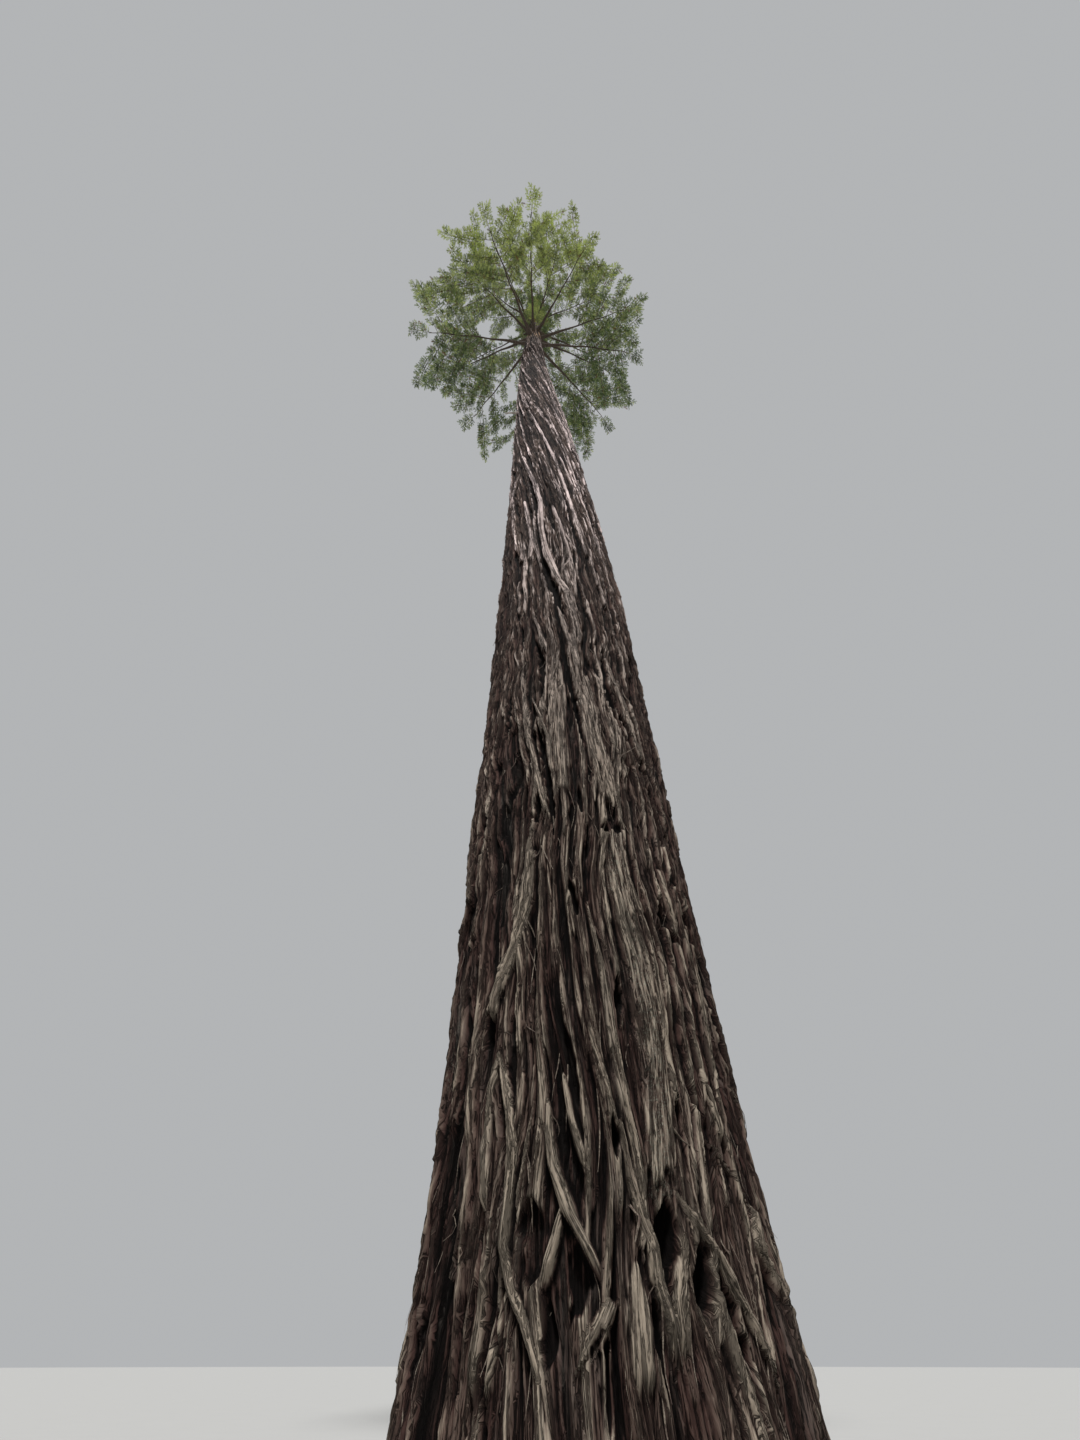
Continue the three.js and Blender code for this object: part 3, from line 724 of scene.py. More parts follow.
        def half_of(z):
            return 0.5 * strip.width * np.sin(np.pi * np.clip((z - strip.low) / span, 0, 1)) ** 0.45 + 1e-4
        found = self.window(strip.low, strip.high, self.follow(strip), half_of)
        if found is None:
            return
        block, _, across = found
        rise = np.clip(1 - across ** 2, 0, 1) ** 0.6
        self.relief[block] += sign * strip.lift * rise
        if sign > 0:
            self.tone[block] = lerp(self.tone[block], strip.tone, 0.6 * rise)

    def line_of(self, pixels, width):
        """A line of pixels as a line of angles up the trunk, with its ends and mean width."""
        spots = sorted((trunk_spot(self.bole, x, y) for x, y in pairs(pixels)), key=lambda spot: spot[1])
        angles, heights, scale = np.array(spots).T
        return heights[0], heights[-1], lambda z: np.interp(z, heights, angles), width * float(scale.mean())

    def dig_known(self):
        """The furrows and hollows that the photograph shows, with ragged outlines."""
        for pixels, width, depth in KNOWN_FURROWS:
            low, high, centre_of, wide = self.line_of(pixels, width)

            def half_of(z, low=low, high=high, wide=wide):
                ragged = 0.55 + 0.9 * noise(z / 0.025, 90 * wide + 0 * z, 0 * z, 8)
                share = np.clip((z - low) / (high - low), 0, 1)
                return 0.5 * wide * ragged * np.sin(np.pi * share) ** 0.7 + 1e-4
            found = self.window(low, high, centre_of, half_of)
            if found:
                block, _, across = found
                bowl = (1 - np.abs(across.clip(-1, 1)) ** 4) ** 0.8
                self.relief[block] = np.minimum(self.relief[block], lerp(self.relief[block], -depth, bowl))

    def lay_known(self):
        """The ridges that the photograph shows, each with strands of its own."""
        rng = np.random.default_rng(self.look.seed + 2)
        for pixels, width, lift, torn in KNOWN_RIDGES:
            low, high, centre_of, wide = self.line_of(pixels, width)
            slim = width < self.PLATE_PIXELS
            wide *= lerp(self.KNOWN_WIDER, 1.0, float(smoothstep(low, 1.5, 3.0))) if slim else 1.0
            duller = 1 - self.DULLER * float(smoothstep(low, 5.0, 9.0))
            bright = (1.0 if slim else self.PLATE_BRIGHT) * duller
            ridge = Strip(low, high, 0.0, 0.0, wide, lift + 0.004, rng.uniform(0.9, 1.2) * bright, torn)
            self.lay(ridge, centre_of, 3.0, 0.005, 0.18, 0.006)
            for _ in range(3 + int(wide / 0.012)):
                start, end = low + (high - low) * np.sort(rng.uniform(0, 1, 2))
                if end - start < 0.04:
                    continue
                aside = rng.uniform(-0.4, 0.4) * wide / float(self.bole.radius(0.5 * (low + high)))
                size, rise = wide * rng.uniform(0.2, 0.42), lift + rng.uniform(0.006, 0.011)
                thin = Strip(start, end, 0.0, 0.0, size, rise, rng.uniform(0.6, 1.5) * bright, False)
                self.lay(thin, lambda z, line=centre_of, aside=aside: line(z) + aside, 2.5, 0.001)

    def grow_known(self):
        for pixels, width in KNOWN_LICHEN:
            low, high, centre_of, wide = self.line_of(pixels, width)
            found = self.window(low, high, centre_of, lambda z, wide=wide: np.full_like(z, wide / 2))
            if found:
                block, _, across = found
                patch = np.clip(1.2 * (1 - np.abs(across)), 0, 0.75)
                self.lichen[block] = np.maximum(self.lichen[block], patch)

    def lay_all(self, plan):
        """Lays the plan's strips and the known ones in order, then the fibres' own grooves."""
        bottom, top = float(self.heights[0]), float(self.heights[-1])

        def within(kind):
            return (strip for strip in plan[kind] if strip.high > bottom and strip.low < top)
        for strip in within("plates"):
            self.lay(strip, square=6.0)
        for strip in within("ridges"):
            self.lay(strip)
        under = self.relief.copy()
        for strip in within("flakes"):
            self.shingle(strip, under)
        for strip in within("slits"):
            self.strand(strip, -1.0)
        before = self.relief.copy()
        self.dig_known()
        self.lay_known()
        self.grow_known()
        self.relief = np.where(self.relief == before, before, blurred(self.relief, 1, 1))
        for strip in within("strands"):
            self.strand(strip)
        self.groove()

    def scales(self, width, length, seed):
        """Small scales of fibres from 0 to 1: each swells towards its foot and then drops away."""
        around = round(TURN * self.bole.t.radius / width)
        z = self.heights[:, None]
        u = np.mod(self.grain / TURN, 1.0) * around
        u = u + 0.5 * (noise(0 * z, 0 * z, z / (0.6 * length), seed + 1) - 0.5)
        column = np.floor(u).astype(np.int64) % around
        side = np.abs(2 * (u - np.floor(u)) - 1)
        none = np.zeros_like(column)
        own = lattice(column, none, none, seed)
        v = z / (length * (0.6 + 0.8 * own)) + 9 * lattice(column, none, none + 1, seed) - 0.22 * (1 - side)
        row = np.floor(v).astype(np.int64)
        up = v - row
        size = lattice(column, row, none + 2, seed)
        swell = np.clip(up / 0.06, 0, 1) * (1 - up) ** 0.7
        return size * swell * np.clip(1.15 * (1 - side ** 3), 0, 1), size

    def groove(self):
        """Scales of fibres, the grooves between them, a soft roughness over everything and painted shade on
        the low flanks.
        """
        coarse = coarseness(self.heights)[:, None]
        wide = self.fibre_noise(0.020 * coarse, 0.34 * coarse, 1)
        thin = self.fibre_noise(0.010 * coarse, 0.15 * coarse, 2)
        patchy = self.fibre_noise(0.05, 0.12, 3)
        near = smoothstep(-self.heights, -9.0, -5.0)[:, None]
        for width, length, depth, high_share, near_share, seed in self.SCALES:
            share = high_share + near_share * near
            made, size = self.scales(width, length, seed)
            self.relief += share * depth * (made - 0.4)
            self.tone += 0.3 * share * (size - 0.5)
        self.relief -= 0.009 * (1 - np.abs(2 * wide - 1)) ** 4 * (0.4 + patchy)
        self.relief -= 0.005 * (1 - np.abs(2 * thin - 1)) ** 3
        self.relief += 0.004 * (patchy - 0.5)
        self.relief = np.clip(self.relief, self.LOWEST, self.HIGHEST)
        # Painted shade: the tone is darkened on the flanks that face left and right of the camera, low down
        aside = smoothstep(np.abs(np.cos(self.angles)), 0.45, 1.0)[None, :]
        self.tone -= self.PAINTED_SIDE_SHADE * aside * near
        # Relief above or below its surroundings: the material paints shade in the hollows and lightens the
        # bulges
        self.edge = (self.relief - blurred(self.relief, 3)) * self.EDGE_GAIN

    def trimmed(self, grid):
        """A grid without its margins, averaged for each mesh column."""
        kept = grid[self.MARGIN:-self.MARGIN]
        return kept.reshape(len(kept), -1, self.FINER).mean(axis=2)


def blurred(grid, reach, times=2):
    """A grid blurred along and round the trunk."""
    around = reach * Bark.FINER
    for _ in range(times):
        total = grid * (around + 1.0)
        for step in range(1, around + 1):
            total += (around + 1.0 - step) * (np.roll(grid, step, axis=1) + np.roll(grid, -step, axis=1))
        grid = total / (around + 1.0) ** 2
        padded = np.pad(grid, ((reach, reach), (0, 0)), mode="edge")
        total = np.zeros_like(grid)
        for step in range(2 * reach + 1):
            total += (reach + 1.0 - abs(step - reach)) * padded[step:step + grid.shape[0]]
        grid = total / (reach + 1.0) ** 2
    return grid


# Meshes and materials

def triangle_mesh(name, places, corners):
    """A smooth mesh from arrays: places, and the corners of each triangle."""
    mesh = bpy.data.meshes.new(name)
    mesh.vertices.add(len(places))
    mesh.vertices.foreach_set("co", places.astype(np.float32).ravel())
    mesh.loops.add(corners.size)
    mesh.loops.foreach_set("vertex_index", corners.astype(np.int32).ravel())
    mesh.polygons.add(len(corners))
    mesh.polygons.foreach_set("loop_start", np.arange(0, corners.size, 3, dtype=np.int32))
    mesh.update(calc_edges=True)
    mesh.validate()
    mesh.shade_smooth()
    return mesh


def link(name, mesh):
    piece = bpy.data.objects.new(name, mesh)
    bpy.context.scene.collection.objects.link(piece)
    return piece


def settle(piece, nodes):
    """Rides a finished piece on the tree's one body and hides the solids that it stands for."""
    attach(piece, "root")
    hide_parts(*nodes)


def tube_of(name, rings, radius):
    """A tube from rings of places: its cells split along the flatter diagonal, and a fan over each end."""
    rows, columns = rings.shape[:2]
    ends = np.array([rings[0].mean(axis=0), rings[-1].mean(axis=0)])
    places = np.concatenate([rings.reshape(-1, 3), ends])
    i = np.arange(rows - 1)[:, None] * columns
    j = np.arange(columns)
    k = (j + 1) % columns
    cells = np.stack([i + j, i + k, i + columns + k, i + columns + j], axis=-1).reshape(-1, 4)
    reach = radius.ravel()[cells]
    flatter = np.abs(reach[:, 0] - reach[:, 2]) <= np.abs(reach[:, 1] - reach[:, 3])
    halves = np.where(flatter[:, None], cells[:, (0, 1, 2, 0, 2, 3)], cells[:, (0, 1, 3, 1, 2, 3)])
    last = (rows - 1) * columns
    low = np.stack([k, j, np.full(columns, rows * columns)], axis=-1)
    high = np.stack([last + j, last + k, np.full(columns, rows * columns + 1)], axis=-1)
    corners = np.concatenate([halves.reshape(-1, 3), low, high])
    mesh = triangle_mesh(name, places, corners)
    mesh.polygons.foreach_set("use_smooth", np.arange(len(corners)) < 2 * len(cells))
    return mesh


class Nodes:
    """Short calls for building a node tree."""

    def __init__(self, tree):
        self.tree = tree

    def add(self, kind, settings=None, **inputs):
        node = self.tree.nodes.new(kind)
        for name, value in (settings or {}).items():
            setattr(node, name, value)
        for name, value in inputs.items():
            self.feed(node, name, value)
        return node

    def feed(self, node, name, value):
        """Links or sets an input, which is given by its number, name or identifier."""
        socket = node.inputs[name] if isinstance(name, int) else next(
            s for s in node.inputs if name in (s.name, s.identifier, s.name.replace(" ", "_")) and s.enabled
        )
        if isinstance(value, bpy.types.NodeSocket):
            self.tree.links.new(value, socket)
        else:
            socket.default_value = value

    def math(self, operation, a, b=None, c=None, clamp=False):
        node = self.add("ShaderNodeMath", {"operation": operation, "use_clamp": clamp})
        for i, value in enumerate((a, b, c)):
            if value is not None:
                self.feed(node, i, value)
        return node.outputs[0]

    def product(self, a, b):
        return self.math("MULTIPLY", a, b)

    def mix(self, share, a, b, blend="MIX"):
        """A colour a share of the way from one to another."""
        node = self.add("ShaderNodeMix", {"data_type": "RGBA", "blend_type": blend}, Factor_Float=share)
        for name, value in (("A_Color", a), ("B_Color", b)):
            self.feed(node, name, value if isinstance(value, bpy.types.NodeSocket) else (*value, 1.0))
        return next(s for s in node.outputs if s.identifier == "Result_Color")

    def ramp(self, value, low, high):
        """From 0 at one value to 1 at another, with soft ends."""
        node = self.add("ShaderNodeMapRange", {"clamp": True, "interpolation_type": "SMOOTHSTEP"})
        for i, given in enumerate((value, low, high)):
            self.feed(node, i, given)
        return node.outputs[0]

    def between(self, share, a, b):
        """A value a share of the way from one to another."""
        return self.math("MULTIPLY_ADD", share, self.math("SUBTRACT", b, a), a)

    def mottle(self, vector, scale, detail, rough=0.5):
        """Noise that is alike in all directions."""
        texture = self.add("ShaderNodeTexNoise", None, Vector=vector, Scale=scale, Detail=detail,
                           Roughness=rough)
        return texture.outputs["Fac"]

    def streaks(self, vector, across, along, detail, rough=0.6):
        """Noise drawn out along the fibres, in metres across and along."""
        drawn = self.add("ShaderNodeMapping", {"vector_type": "POINT"}, Vector=vector,
                         Scale=(1 / across, 1 / across, 1 / along))
        return self.mottle(drawn.outputs[0], 1.0, detail, rough)

    def bump(self, shader, height, strength, distance):
        node = self.add("ShaderNodeBump", None, Strength=strength, Distance=distance, Height=height)
        self.feed(shader, "Normal", node.outputs[0])

    def coordinates(self):
        return self.add("ShaderNodeTexCoord").outputs["Object"]


def new_material(name, roughness):
    material = bpy.data.materials.new(name)
    material.use_nodes = True
    shader = material.node_tree.nodes["Principled BSDF"]
    shader.inputs["Roughness"].default_value = roughness
    shader.inputs["Specular IOR Level"].default_value = 0.25
    return material, Nodes(material.node_tree), shader


def bark_material(look):
    """Redwood bark: dark furrows with painted shade at the bottom, red-brown inner bark, weathered fibrous
    crests and specks of lichen, with painted light and shade on fibres, flanks and hollows and a pool of
    painted sunlight under the lowest boughs.
    """
    material, nodes, shader = new_material("redwood_bark", 0.95)
    shader.inputs["Specular IOR Level"].default_value = 0.06
    math_of, product, ramp, mix, streaks = nodes.math, nodes.product, nodes.ramp, nodes.mix, nodes.streaks

    def attribute(name, output="Fac"):
        settings = {"attribute_name": name, "attribute_type": "GEOMETRY"}
        return nodes.add("ShaderNodeAttribute", settings).outputs[output]
    grain = attribute("grain", "Vector")
    relief, tone, edge, lichen = [attribute(name) for name in ("relief", "tone", "edge", "lichen")]
    place = nodes.coordinates()
    height = nodes.add("ShaderNodeSeparateXYZ", None, Vector=place).outputs["Z"]
    high = ramp(height, 1.5, 9.0)
    # Fibres: finer near the ground, and coarser where they are far from any viewer
    near = streaks(grain, 0.0078, 0.17, 4.0, 0.70)
    middle = streaks(grain, 0.018, 0.75, 4.0, 0.68)
    far = streaks(grain, 0.040, 4.5, 5.0, 0.74)
    fibres = nodes.between(ramp(height, 2.5, 7.0), near, middle)
    fibres = nodes.between(ramp(height, 8.0, 16.0), fibres, far)
    # Depth with ragged borders between the colours, lighter on crests and on the lighter strips; the edge
    # term makes bulges lighter and hollows darker, the latter as painted shade, and the tone also carries the
    # painted shade of the flanks
    level = math_of("MULTIPLY_ADD", math_of("SUBTRACT", fibres, 0.5), 0.040, relief)
    level = math_of("MULTIPLY_ADD", math_of("SUBTRACT", tone, 0.5), 0.022, level)
    level = math_of("MULTIPLY_ADD", edge, 0.010, level)
    level = math_of("MULTIPLY_ADD", high, -0.004, level)
    level = math_of("SUBTRACT", level, 0.006)
    crest = mix(high, look.crest_colour, look.high_colour)
    # Painted sunlight: an orange-brown pool of light on the crests from 22.3 to 27.5 metres up, under the
    # lowest boughs
    painted_sunlight_band = product(ramp(height, 22.3, 23.6), ramp(height, 27.5, 26.0))
    crest = mix(painted_sunlight_band, crest, look.painted_sunlight_colour)
    # Painted shade at the bottom of the furrows, then the inner bark, the flanks and the crests by depth
    shade = mix(ramp(level, -0.050, -0.030), look.furrow_shade_colour, look.inner_colour)
    shade = mix(ramp(level, -0.030, -0.008), shade, look.flank_colour)
    shade = mix(ramp(level, -0.010, 0.014), shade, crest)
    # Greyer and redder stretches
    wide = streaks(grain, 0.03, 0.5, 3.0)
    shade = mix(product(ramp(wide, 0.5, 0.72), 0.45), shade, mix(0.6, shade, look.grey_colour))
    shade = mix(product(ramp(wide, 0.47, 0.3), 0.4), shade, look.inner_colour)
    # Specks of lichen, in the traced patches and thinly elsewhere
    specks = nodes.add("ShaderNodeTexVoronoi", {"feature": "F1"}, Vector=place, Scale=150.0, Randomness=1.0)
    blots = nodes.mottle(place, 60.0, 3.0, 0.6)
    spotted = product(ramp(specks.outputs["Distance"], 0.6, 0.28), ramp(blots, 0.40, 0.6))
    thin = product(ramp(nodes.mottle(place, 1.9, 3.0), 0.56, 0.72), 0.25)
    cover = math_of("MULTIPLY", spotted, math_of("MAXIMUM", lichen, thin), clamp=True)
    shade = mix(cover, shade, look.lichen_colour)
    # Painted light and shade on each fibre, for the fibres' own shadows, with broad lighter and darker
    # stretches of tone high up
    painted_fibre_shading = math_of("MULTIPLY_ADD", ramp(fibres, 0.38, 0.64), 1.0, 0.42)
    broad = ramp(streaks(grain, 0.13, 2.6, 2.0), 0.34, 0.66)
    broad = math_of("MULTIPLY_ADD", math_of("SUBTRACT", broad, 0.4), product(high, 0.65), 1.0)
    shade = mix(1.0, shade, product(painted_fibre_shading, broad), "MULTIPLY")
    # Dark cracks between fibres, gaps and pits high up, and painted shade in the hollows
    crack = ramp(math_of("ABSOLUTE", math_of("SUBTRACT", fibres, 0.47)), 0.030, 0.004)
    shade = mix(product(crack, 0.75), shade, look.furrow_shade_colour)
    gap = product(ramp(fibres, 0.46, 0.38), product(high, 0.65))
    shade = mix(gap, shade, look.furrow_shade_colour)
    pits = ramp(streaks(grain, 0.038, 1.1, 4.0, 0.75), 0.50, 0.40)
    shade = mix(product(pits, product(high, 0.6)), shade, look.flank_colour)
    # Painted shade in hollows that lie below their surroundings
    shade = mix(product(ramp(edge, 0.0, -0.75), 0.92), shade, look.furrow_shade_colour)
    nodes.feed(shader, "Base Color", shade)
    nodes.bump(shader, math_of("SUBTRACT", fibres, product(crack, 0.3)), 1.0, 0.012)
    return material


def limb_material(name, base, crest):
    """Rough, mottled bark of limbs, twigs, shreds and the dead branch, with dark specks."""
    material, nodes, shader = new_material(name, 0.9)
    place = nodes.coordinates()
    coarse = nodes.mottle(place, 34.0, 4.0, 0.65)
    fine = nodes.mottle(place, 160.0, 3.0, 0.7)
    shade = nodes.mix(nodes.ramp(coarse, 0.38, 0.66), base, crest)
    dark = tuple(0.4 * c for c in base)
    nodes.feed(shader, "Base Color", nodes.mix(nodes.ramp(fine, 0.5, 0.3), shade, dark))
    nodes.bump(shader, nodes.math("ADD", coarse, nodes.product(fine, 0.4)), 0.7, 0.01)
    return material


def needle_material(name, base):
    """Matt needles of one colour, a little lighter and darker from place to place."""
    material, nodes, shader = new_material(name, 0.62)
    drift = nodes.mottle(nodes.coordinates(), 2.2, 3.0, 0.6)
    dark = tuple(0.72 * c for c in base)
    light = tuple(min(1.0, 1.25 * c) for c in base)
    nodes.feed(shader, "Base Color", nodes.mix(nodes.ramp(drift, 0.3, 0.7), dark, light))
    return material


# Geometry Nodes

def new_tree(name, inputs):
    """An empty Geometry Nodes tree with named inputs, and the node that they come from."""
    tree = bpy.data.node_groups.new(name, "GeometryNodeTree")
    tree.interface.new_socket(name="Geometry", in_out="INPUT", socket_type="NodeSocketGeometry")
    for label, kind, default in inputs:
        socket = tree.interface.new_socket(name=label, in_out="INPUT", socket_type="NodeSocket" + kind)
        if default is not None:
            socket.default_value = default
    tree.interface.new_socket(name="Geometry", in_out="OUTPUT", socket_type="NodeSocketGeometry")
    nodes = Nodes(tree)
    return tree, nodes, nodes.add("NodeGroupInput").outputs


def end_tree(nodes, geometry, material):
    """The last nodes of a tree: instances made real, and the material set."""
    real = nodes.add("GeometryNodeRealizeInstances", None, Geometry=geometry)
    done = nodes.add("GeometryNodeSetMaterial", None, Geometry=real.outputs[0], Material=material)
    nodes.feed(nodes.add("NodeGroupOutput"), "Geometry", done.outputs[0])


def stored(nodes, geometry, name, value):
    """A geometry whose points hold a value under a name."""
    node = nodes.add("GeometryNodeStoreNamedAttribute", {"data_type": "FLOAT", "domain": "POINT"},
                     Geometry=geometry, Name=name, Value=value)
    return node.outputs[0]


def recalled(nodes, name, kind="FLOAT"):
    """The value that a geometry's points hold under a name."""
    return nodes.add("GeometryNodeInputNamedAttribute", {"data_type": kind}, Name=name).outputs["Attribute"]


def sweep_tree():
    """Sweeps a round section along lines of points, with knots and ridges of bark on it."""
    tree, nodes, start = new_tree("limb_sweep", (
        ("Sides", "Int", 8), ("Flatness", "Float", 1.0), ("Relief", "Float", 0.0),
        ("Grain", "Float", 30.0), ("Bark", "Material", None),
    ))
    curve = nodes.add("GeometryNodeMeshToCurve", None, Mesh=start["Geometry"]).outputs[0]
    thick = recalled(nodes, "thick")
    line = stored(nodes, curve, "along", nodes.add("GeometryNodeSplineParameter").outputs["Length"])
    ring = nodes.add("GeometryNodeCurvePrimitiveCircle", {"mode": "RADIUS"},
                     Resolution=start["Sides"], Radius=1.0)
    squash = nodes.add("ShaderNodeCombineXYZ", None, X=1.0, Y=start["Flatness"], Z=1.0)
    shaped = nodes.add("GeometryNodeTransform", None, Geometry=ring.outputs[0], Scale=squash.outputs[0])
    turn = nodes.add("GeometryNodeSplineParameter").outputs["Factor"]
    section = stored(nodes, shaped.outputs[0], "around", turn)
    swept = nodes.add("GeometryNodeCurveToMesh", None, Curve=line, Profile_Curve=section, Fill_Caps=True,
                      Scale=thick)
    # Relief: ridges that run along the limb
    place = nodes.add("GeometryNodeInputPosition").outputs[0]
    rough = nodes.product(nodes.math("SUBTRACT", nodes.mottle(place, start["Grain"], 2.0, 0.6), 0.5), 2.2)
    twist = nodes.product(recalled(nodes, "along"), 3.0)
    wave = nodes.math("SINE", nodes.math("MULTIPLY_ADD", recalled(nodes, "around"), TURN * 4, twist))
    rough = nodes.math("ADD", rough, nodes.product(wave, 0.25))
    rough = nodes.product(nodes.product(rough, start["Relief"]), thick)
    normal = nodes.add("GeometryNodeInputNormal").outputs[0]
    offset = nodes.add("ShaderNodeVectorMath", {"operation": "SCALE"}, Vector=normal, Scale=rough)
    moved = nodes.add("GeometryNodeSetPosition", None, Geometry=swept.outputs[0], Offset=offset.outputs[0])
    smooth = nodes.add("GeometryNodeSetShadeSmooth", {"domain": "FACE"}, Geometry=moved.outputs[0],
                       Shade_Smooth=True)
    end_tree(nodes, smooth.outputs[0], start["Bark"])
    return tree


def spray_tree():
    """Sets one of several sprays on each point, turned along its heading and rolled a little."""
    tree, nodes, start = new_tree("needle_sprays", (
        ("Sprays", "Collection", None), ("Spray length", "Float", 0.2), ("Roll", "Float", 0.5),
        ("Seed", "Int", 1), ("Needles", "Material", None),
    ))

    def chance(kind, low, high):
        number = "001" if kind == "FLOAT" else "002"
        node = nodes.add("FunctionNodeRandomValue", {"data_type": kind}, Seed=start["Seed"])
        nodes.feed(node, "Min_" + number, low)
        nodes.feed(node, "Max_" + number, high)
        return next(s for s in node.outputs if s.enabled)
    shapes = nodes.add("GeometryNodeCollectionInfo", {"transform_space": "ORIGINAL"},
                       Collection=start["Sprays"], Separate_Children=True, Reset_Children=True)
    faced = nodes.add("FunctionNodeAxesToRotation", {"primary_axis": "X", "secondary_axis": "Z"},
                      Primary_Axis=recalled(nodes, "heading", "FLOAT_VECTOR"),
                      Secondary_Axis=recalled(nodes, "upward", "FLOAT_VECTOR"))
    roll = chance("FLOAT", nodes.product(start["Roll"], -1.0), start["Roll"])
    spin = nodes.add("FunctionNodeAxisAngleToRotation", None, Axis=(1.0, 0.0, 0.0), Angle=roll)
    rotation = nodes.add("FunctionNodeRotateRotation", {"rotation_space": "LOCAL"},
                         Rotation=faced.outputs[0], Rotate_By=spin.outputs[0])
    size = nodes.product(recalled(nodes, "size"), start["Spray length"])
    placed = nodes.add("GeometryNodeInstanceOnPoints", None, Points=start["Geometry"],
                       Instance=shapes.outputs[0], Pick_Instance=True,
                       Instance_Index=chance("INT", 0, SPRAY_KINDS - 1),
                       Rotation=rotation.outputs[0], Scale=size)
    end_tree(nodes, placed.outputs[0], start["Needles"])
    return tree


# Values of points that only the trees need
POINT_VALUES = ("thick", "along", "around", "heading", "upward", "size")


def grown(name, mesh, tree, values):
    """A plain mesh made by running a Geometry Nodes tree on a mesh."""
    source = link(name + "_source", mesh)
    modifier = source.modifiers.new("grow", "NODES")
    modifier.node_group = tree
    for item in tree.interface.items_tree:
        if item.item_type == "SOCKET" and item.in_out == "INPUT" and item.name in values:
            modifier[item.identifier] = values[item.name]
    depsgraph = bpy.context.evaluated_depsgraph_get()
    made = bpy.data.meshes.new_from_object(source.evaluated_get(depsgraph), depsgraph=depsgraph)
    made.name = name
    source.modifiers.remove(modifier)
    bpy.data.objects.remove(source)
    for extra in [a.name for a in made.attributes if a.name in POINT_VALUES]:
        made.attributes.remove(made.attributes[extra])
    return link(name, made)


def limbs_along(name, lines, tree, material, sides, relief=0.0, grain=1.0, flatness=1.0):
    """A piece of round limbs that follow lines of points, with a thickness at each."""
    places, edges, thick = [], [], []
    for points, sizes in lines:
        first = len(places)
        places.extend(map(tuple, points))
        thick.extend(sizes)
        edges.extend((first + i, first + i + 1) for i in range(len(points) - 1))
    mesh = bpy.data.meshes.new(name + "_lines")
    mesh.from_pydata(places, edges, [])
    mesh.attributes.new("thick", "FLOAT", "POINT").data.foreach_set("value", np.array(thick, np.float32))
    return grown(name, mesh, tree, {
        "Sides": sides, "Relief": relief, "Grain": grain, "Flatness": flatness, "Bark": material,
    })


# Crown

# A bough's end in the solids, as a share of its reach, and how slim it is there
BOUGH_SHARE = 0.4
LIMB_END = 0.42
SHOOT_SLIMMER = 0.7
# A blade of the solids in metres, the share of it before its twig's end, and the scales tried
BLADE_LENGTH = 1.02
BLADE_WIDTH = 0.5
BLADE_SUNK = 0.42
BLADE_LEAST = 0.65
BLADE_TRIES = (1, 0.8, 0.62, 0.48)
BLADE_TEETH = ((0, 0), (0.3, 0.5), (0.46, 0.27), (0.68, 0.4), (1, 0))
# The twigs of a mass: how many at the full reach, how they spread and shorten, how close they come
TWIG_SEED = 5000
TWIG_SPREAD = 0.44
FULL_TWIGS = 17
FULL_REACH = 3.8
TWIG_TRIES = (1, 0.72, 0.5)
SHORTEST_TWIG = 0.26
TWIGS_APART = 0.46
SHORTER_OUTWARDS = 0.45
# Radians that a twig turns aside and that chance adds, and its mean pitch and the range
TWIG_YAW = (0.75, 0.45)
TWIG_PITCH = (-0.45, 1.3)
FAN_TILT = 1.5
END_NOD = 0.14
END_TILT = 0.45
# The share of each stem where its first twig starts, and its last
FIRST_TWIG = 0.06
FIRST_SHOOT_TWIG = 0.35
FIRST_TIP_TWIG = 0.1
LAST_TWIG = 0.84
TIP_SPREAD = 0.42
# A way is upright if its level part is shorter than this
UPRIGHT = 0.1


class Path:
    """A curve measured by arc length, as the solids' own curves are."""

    DIVISIONS = 200
    LINE_STEPS = 6
    NEARBY = 1e-4

    def __init__(self, place_of):
        self.place_of = place_of
        places = np.array([place_of(i / self.DIVISIONS) for i in range(self.DIVISIONS + 1)])
        steps = np.linalg.norm(np.diff(places, axis=0), axis=1)
        self.lengths = np.concatenate([[0.0], np.cumsum(steps)])
        self.length = float(self.lengths[-1])

    def share(self, u):
        """The curve's own share at a share of its length."""
        return float(np.interp(u * self.length, self.lengths, np.linspace(0, 1, self.DIVISIONS + 1)))

    def at(self, u):
        """The place at a share of the length."""
        return self.place_of(self.share(u))

    def tangent(self, u):
        """The way on from a share of the length."""
        t = self.share(u)
        return unit(self.place_of(min(t + self.NEARBY, 1.0)) - self.place_of(max(t - self.NEARBY, 0.0)))

    def line(self):
        return np.array([self.at(i / self.LINE_STEPS) for i in range(self.LINE_STEPS + 1)])


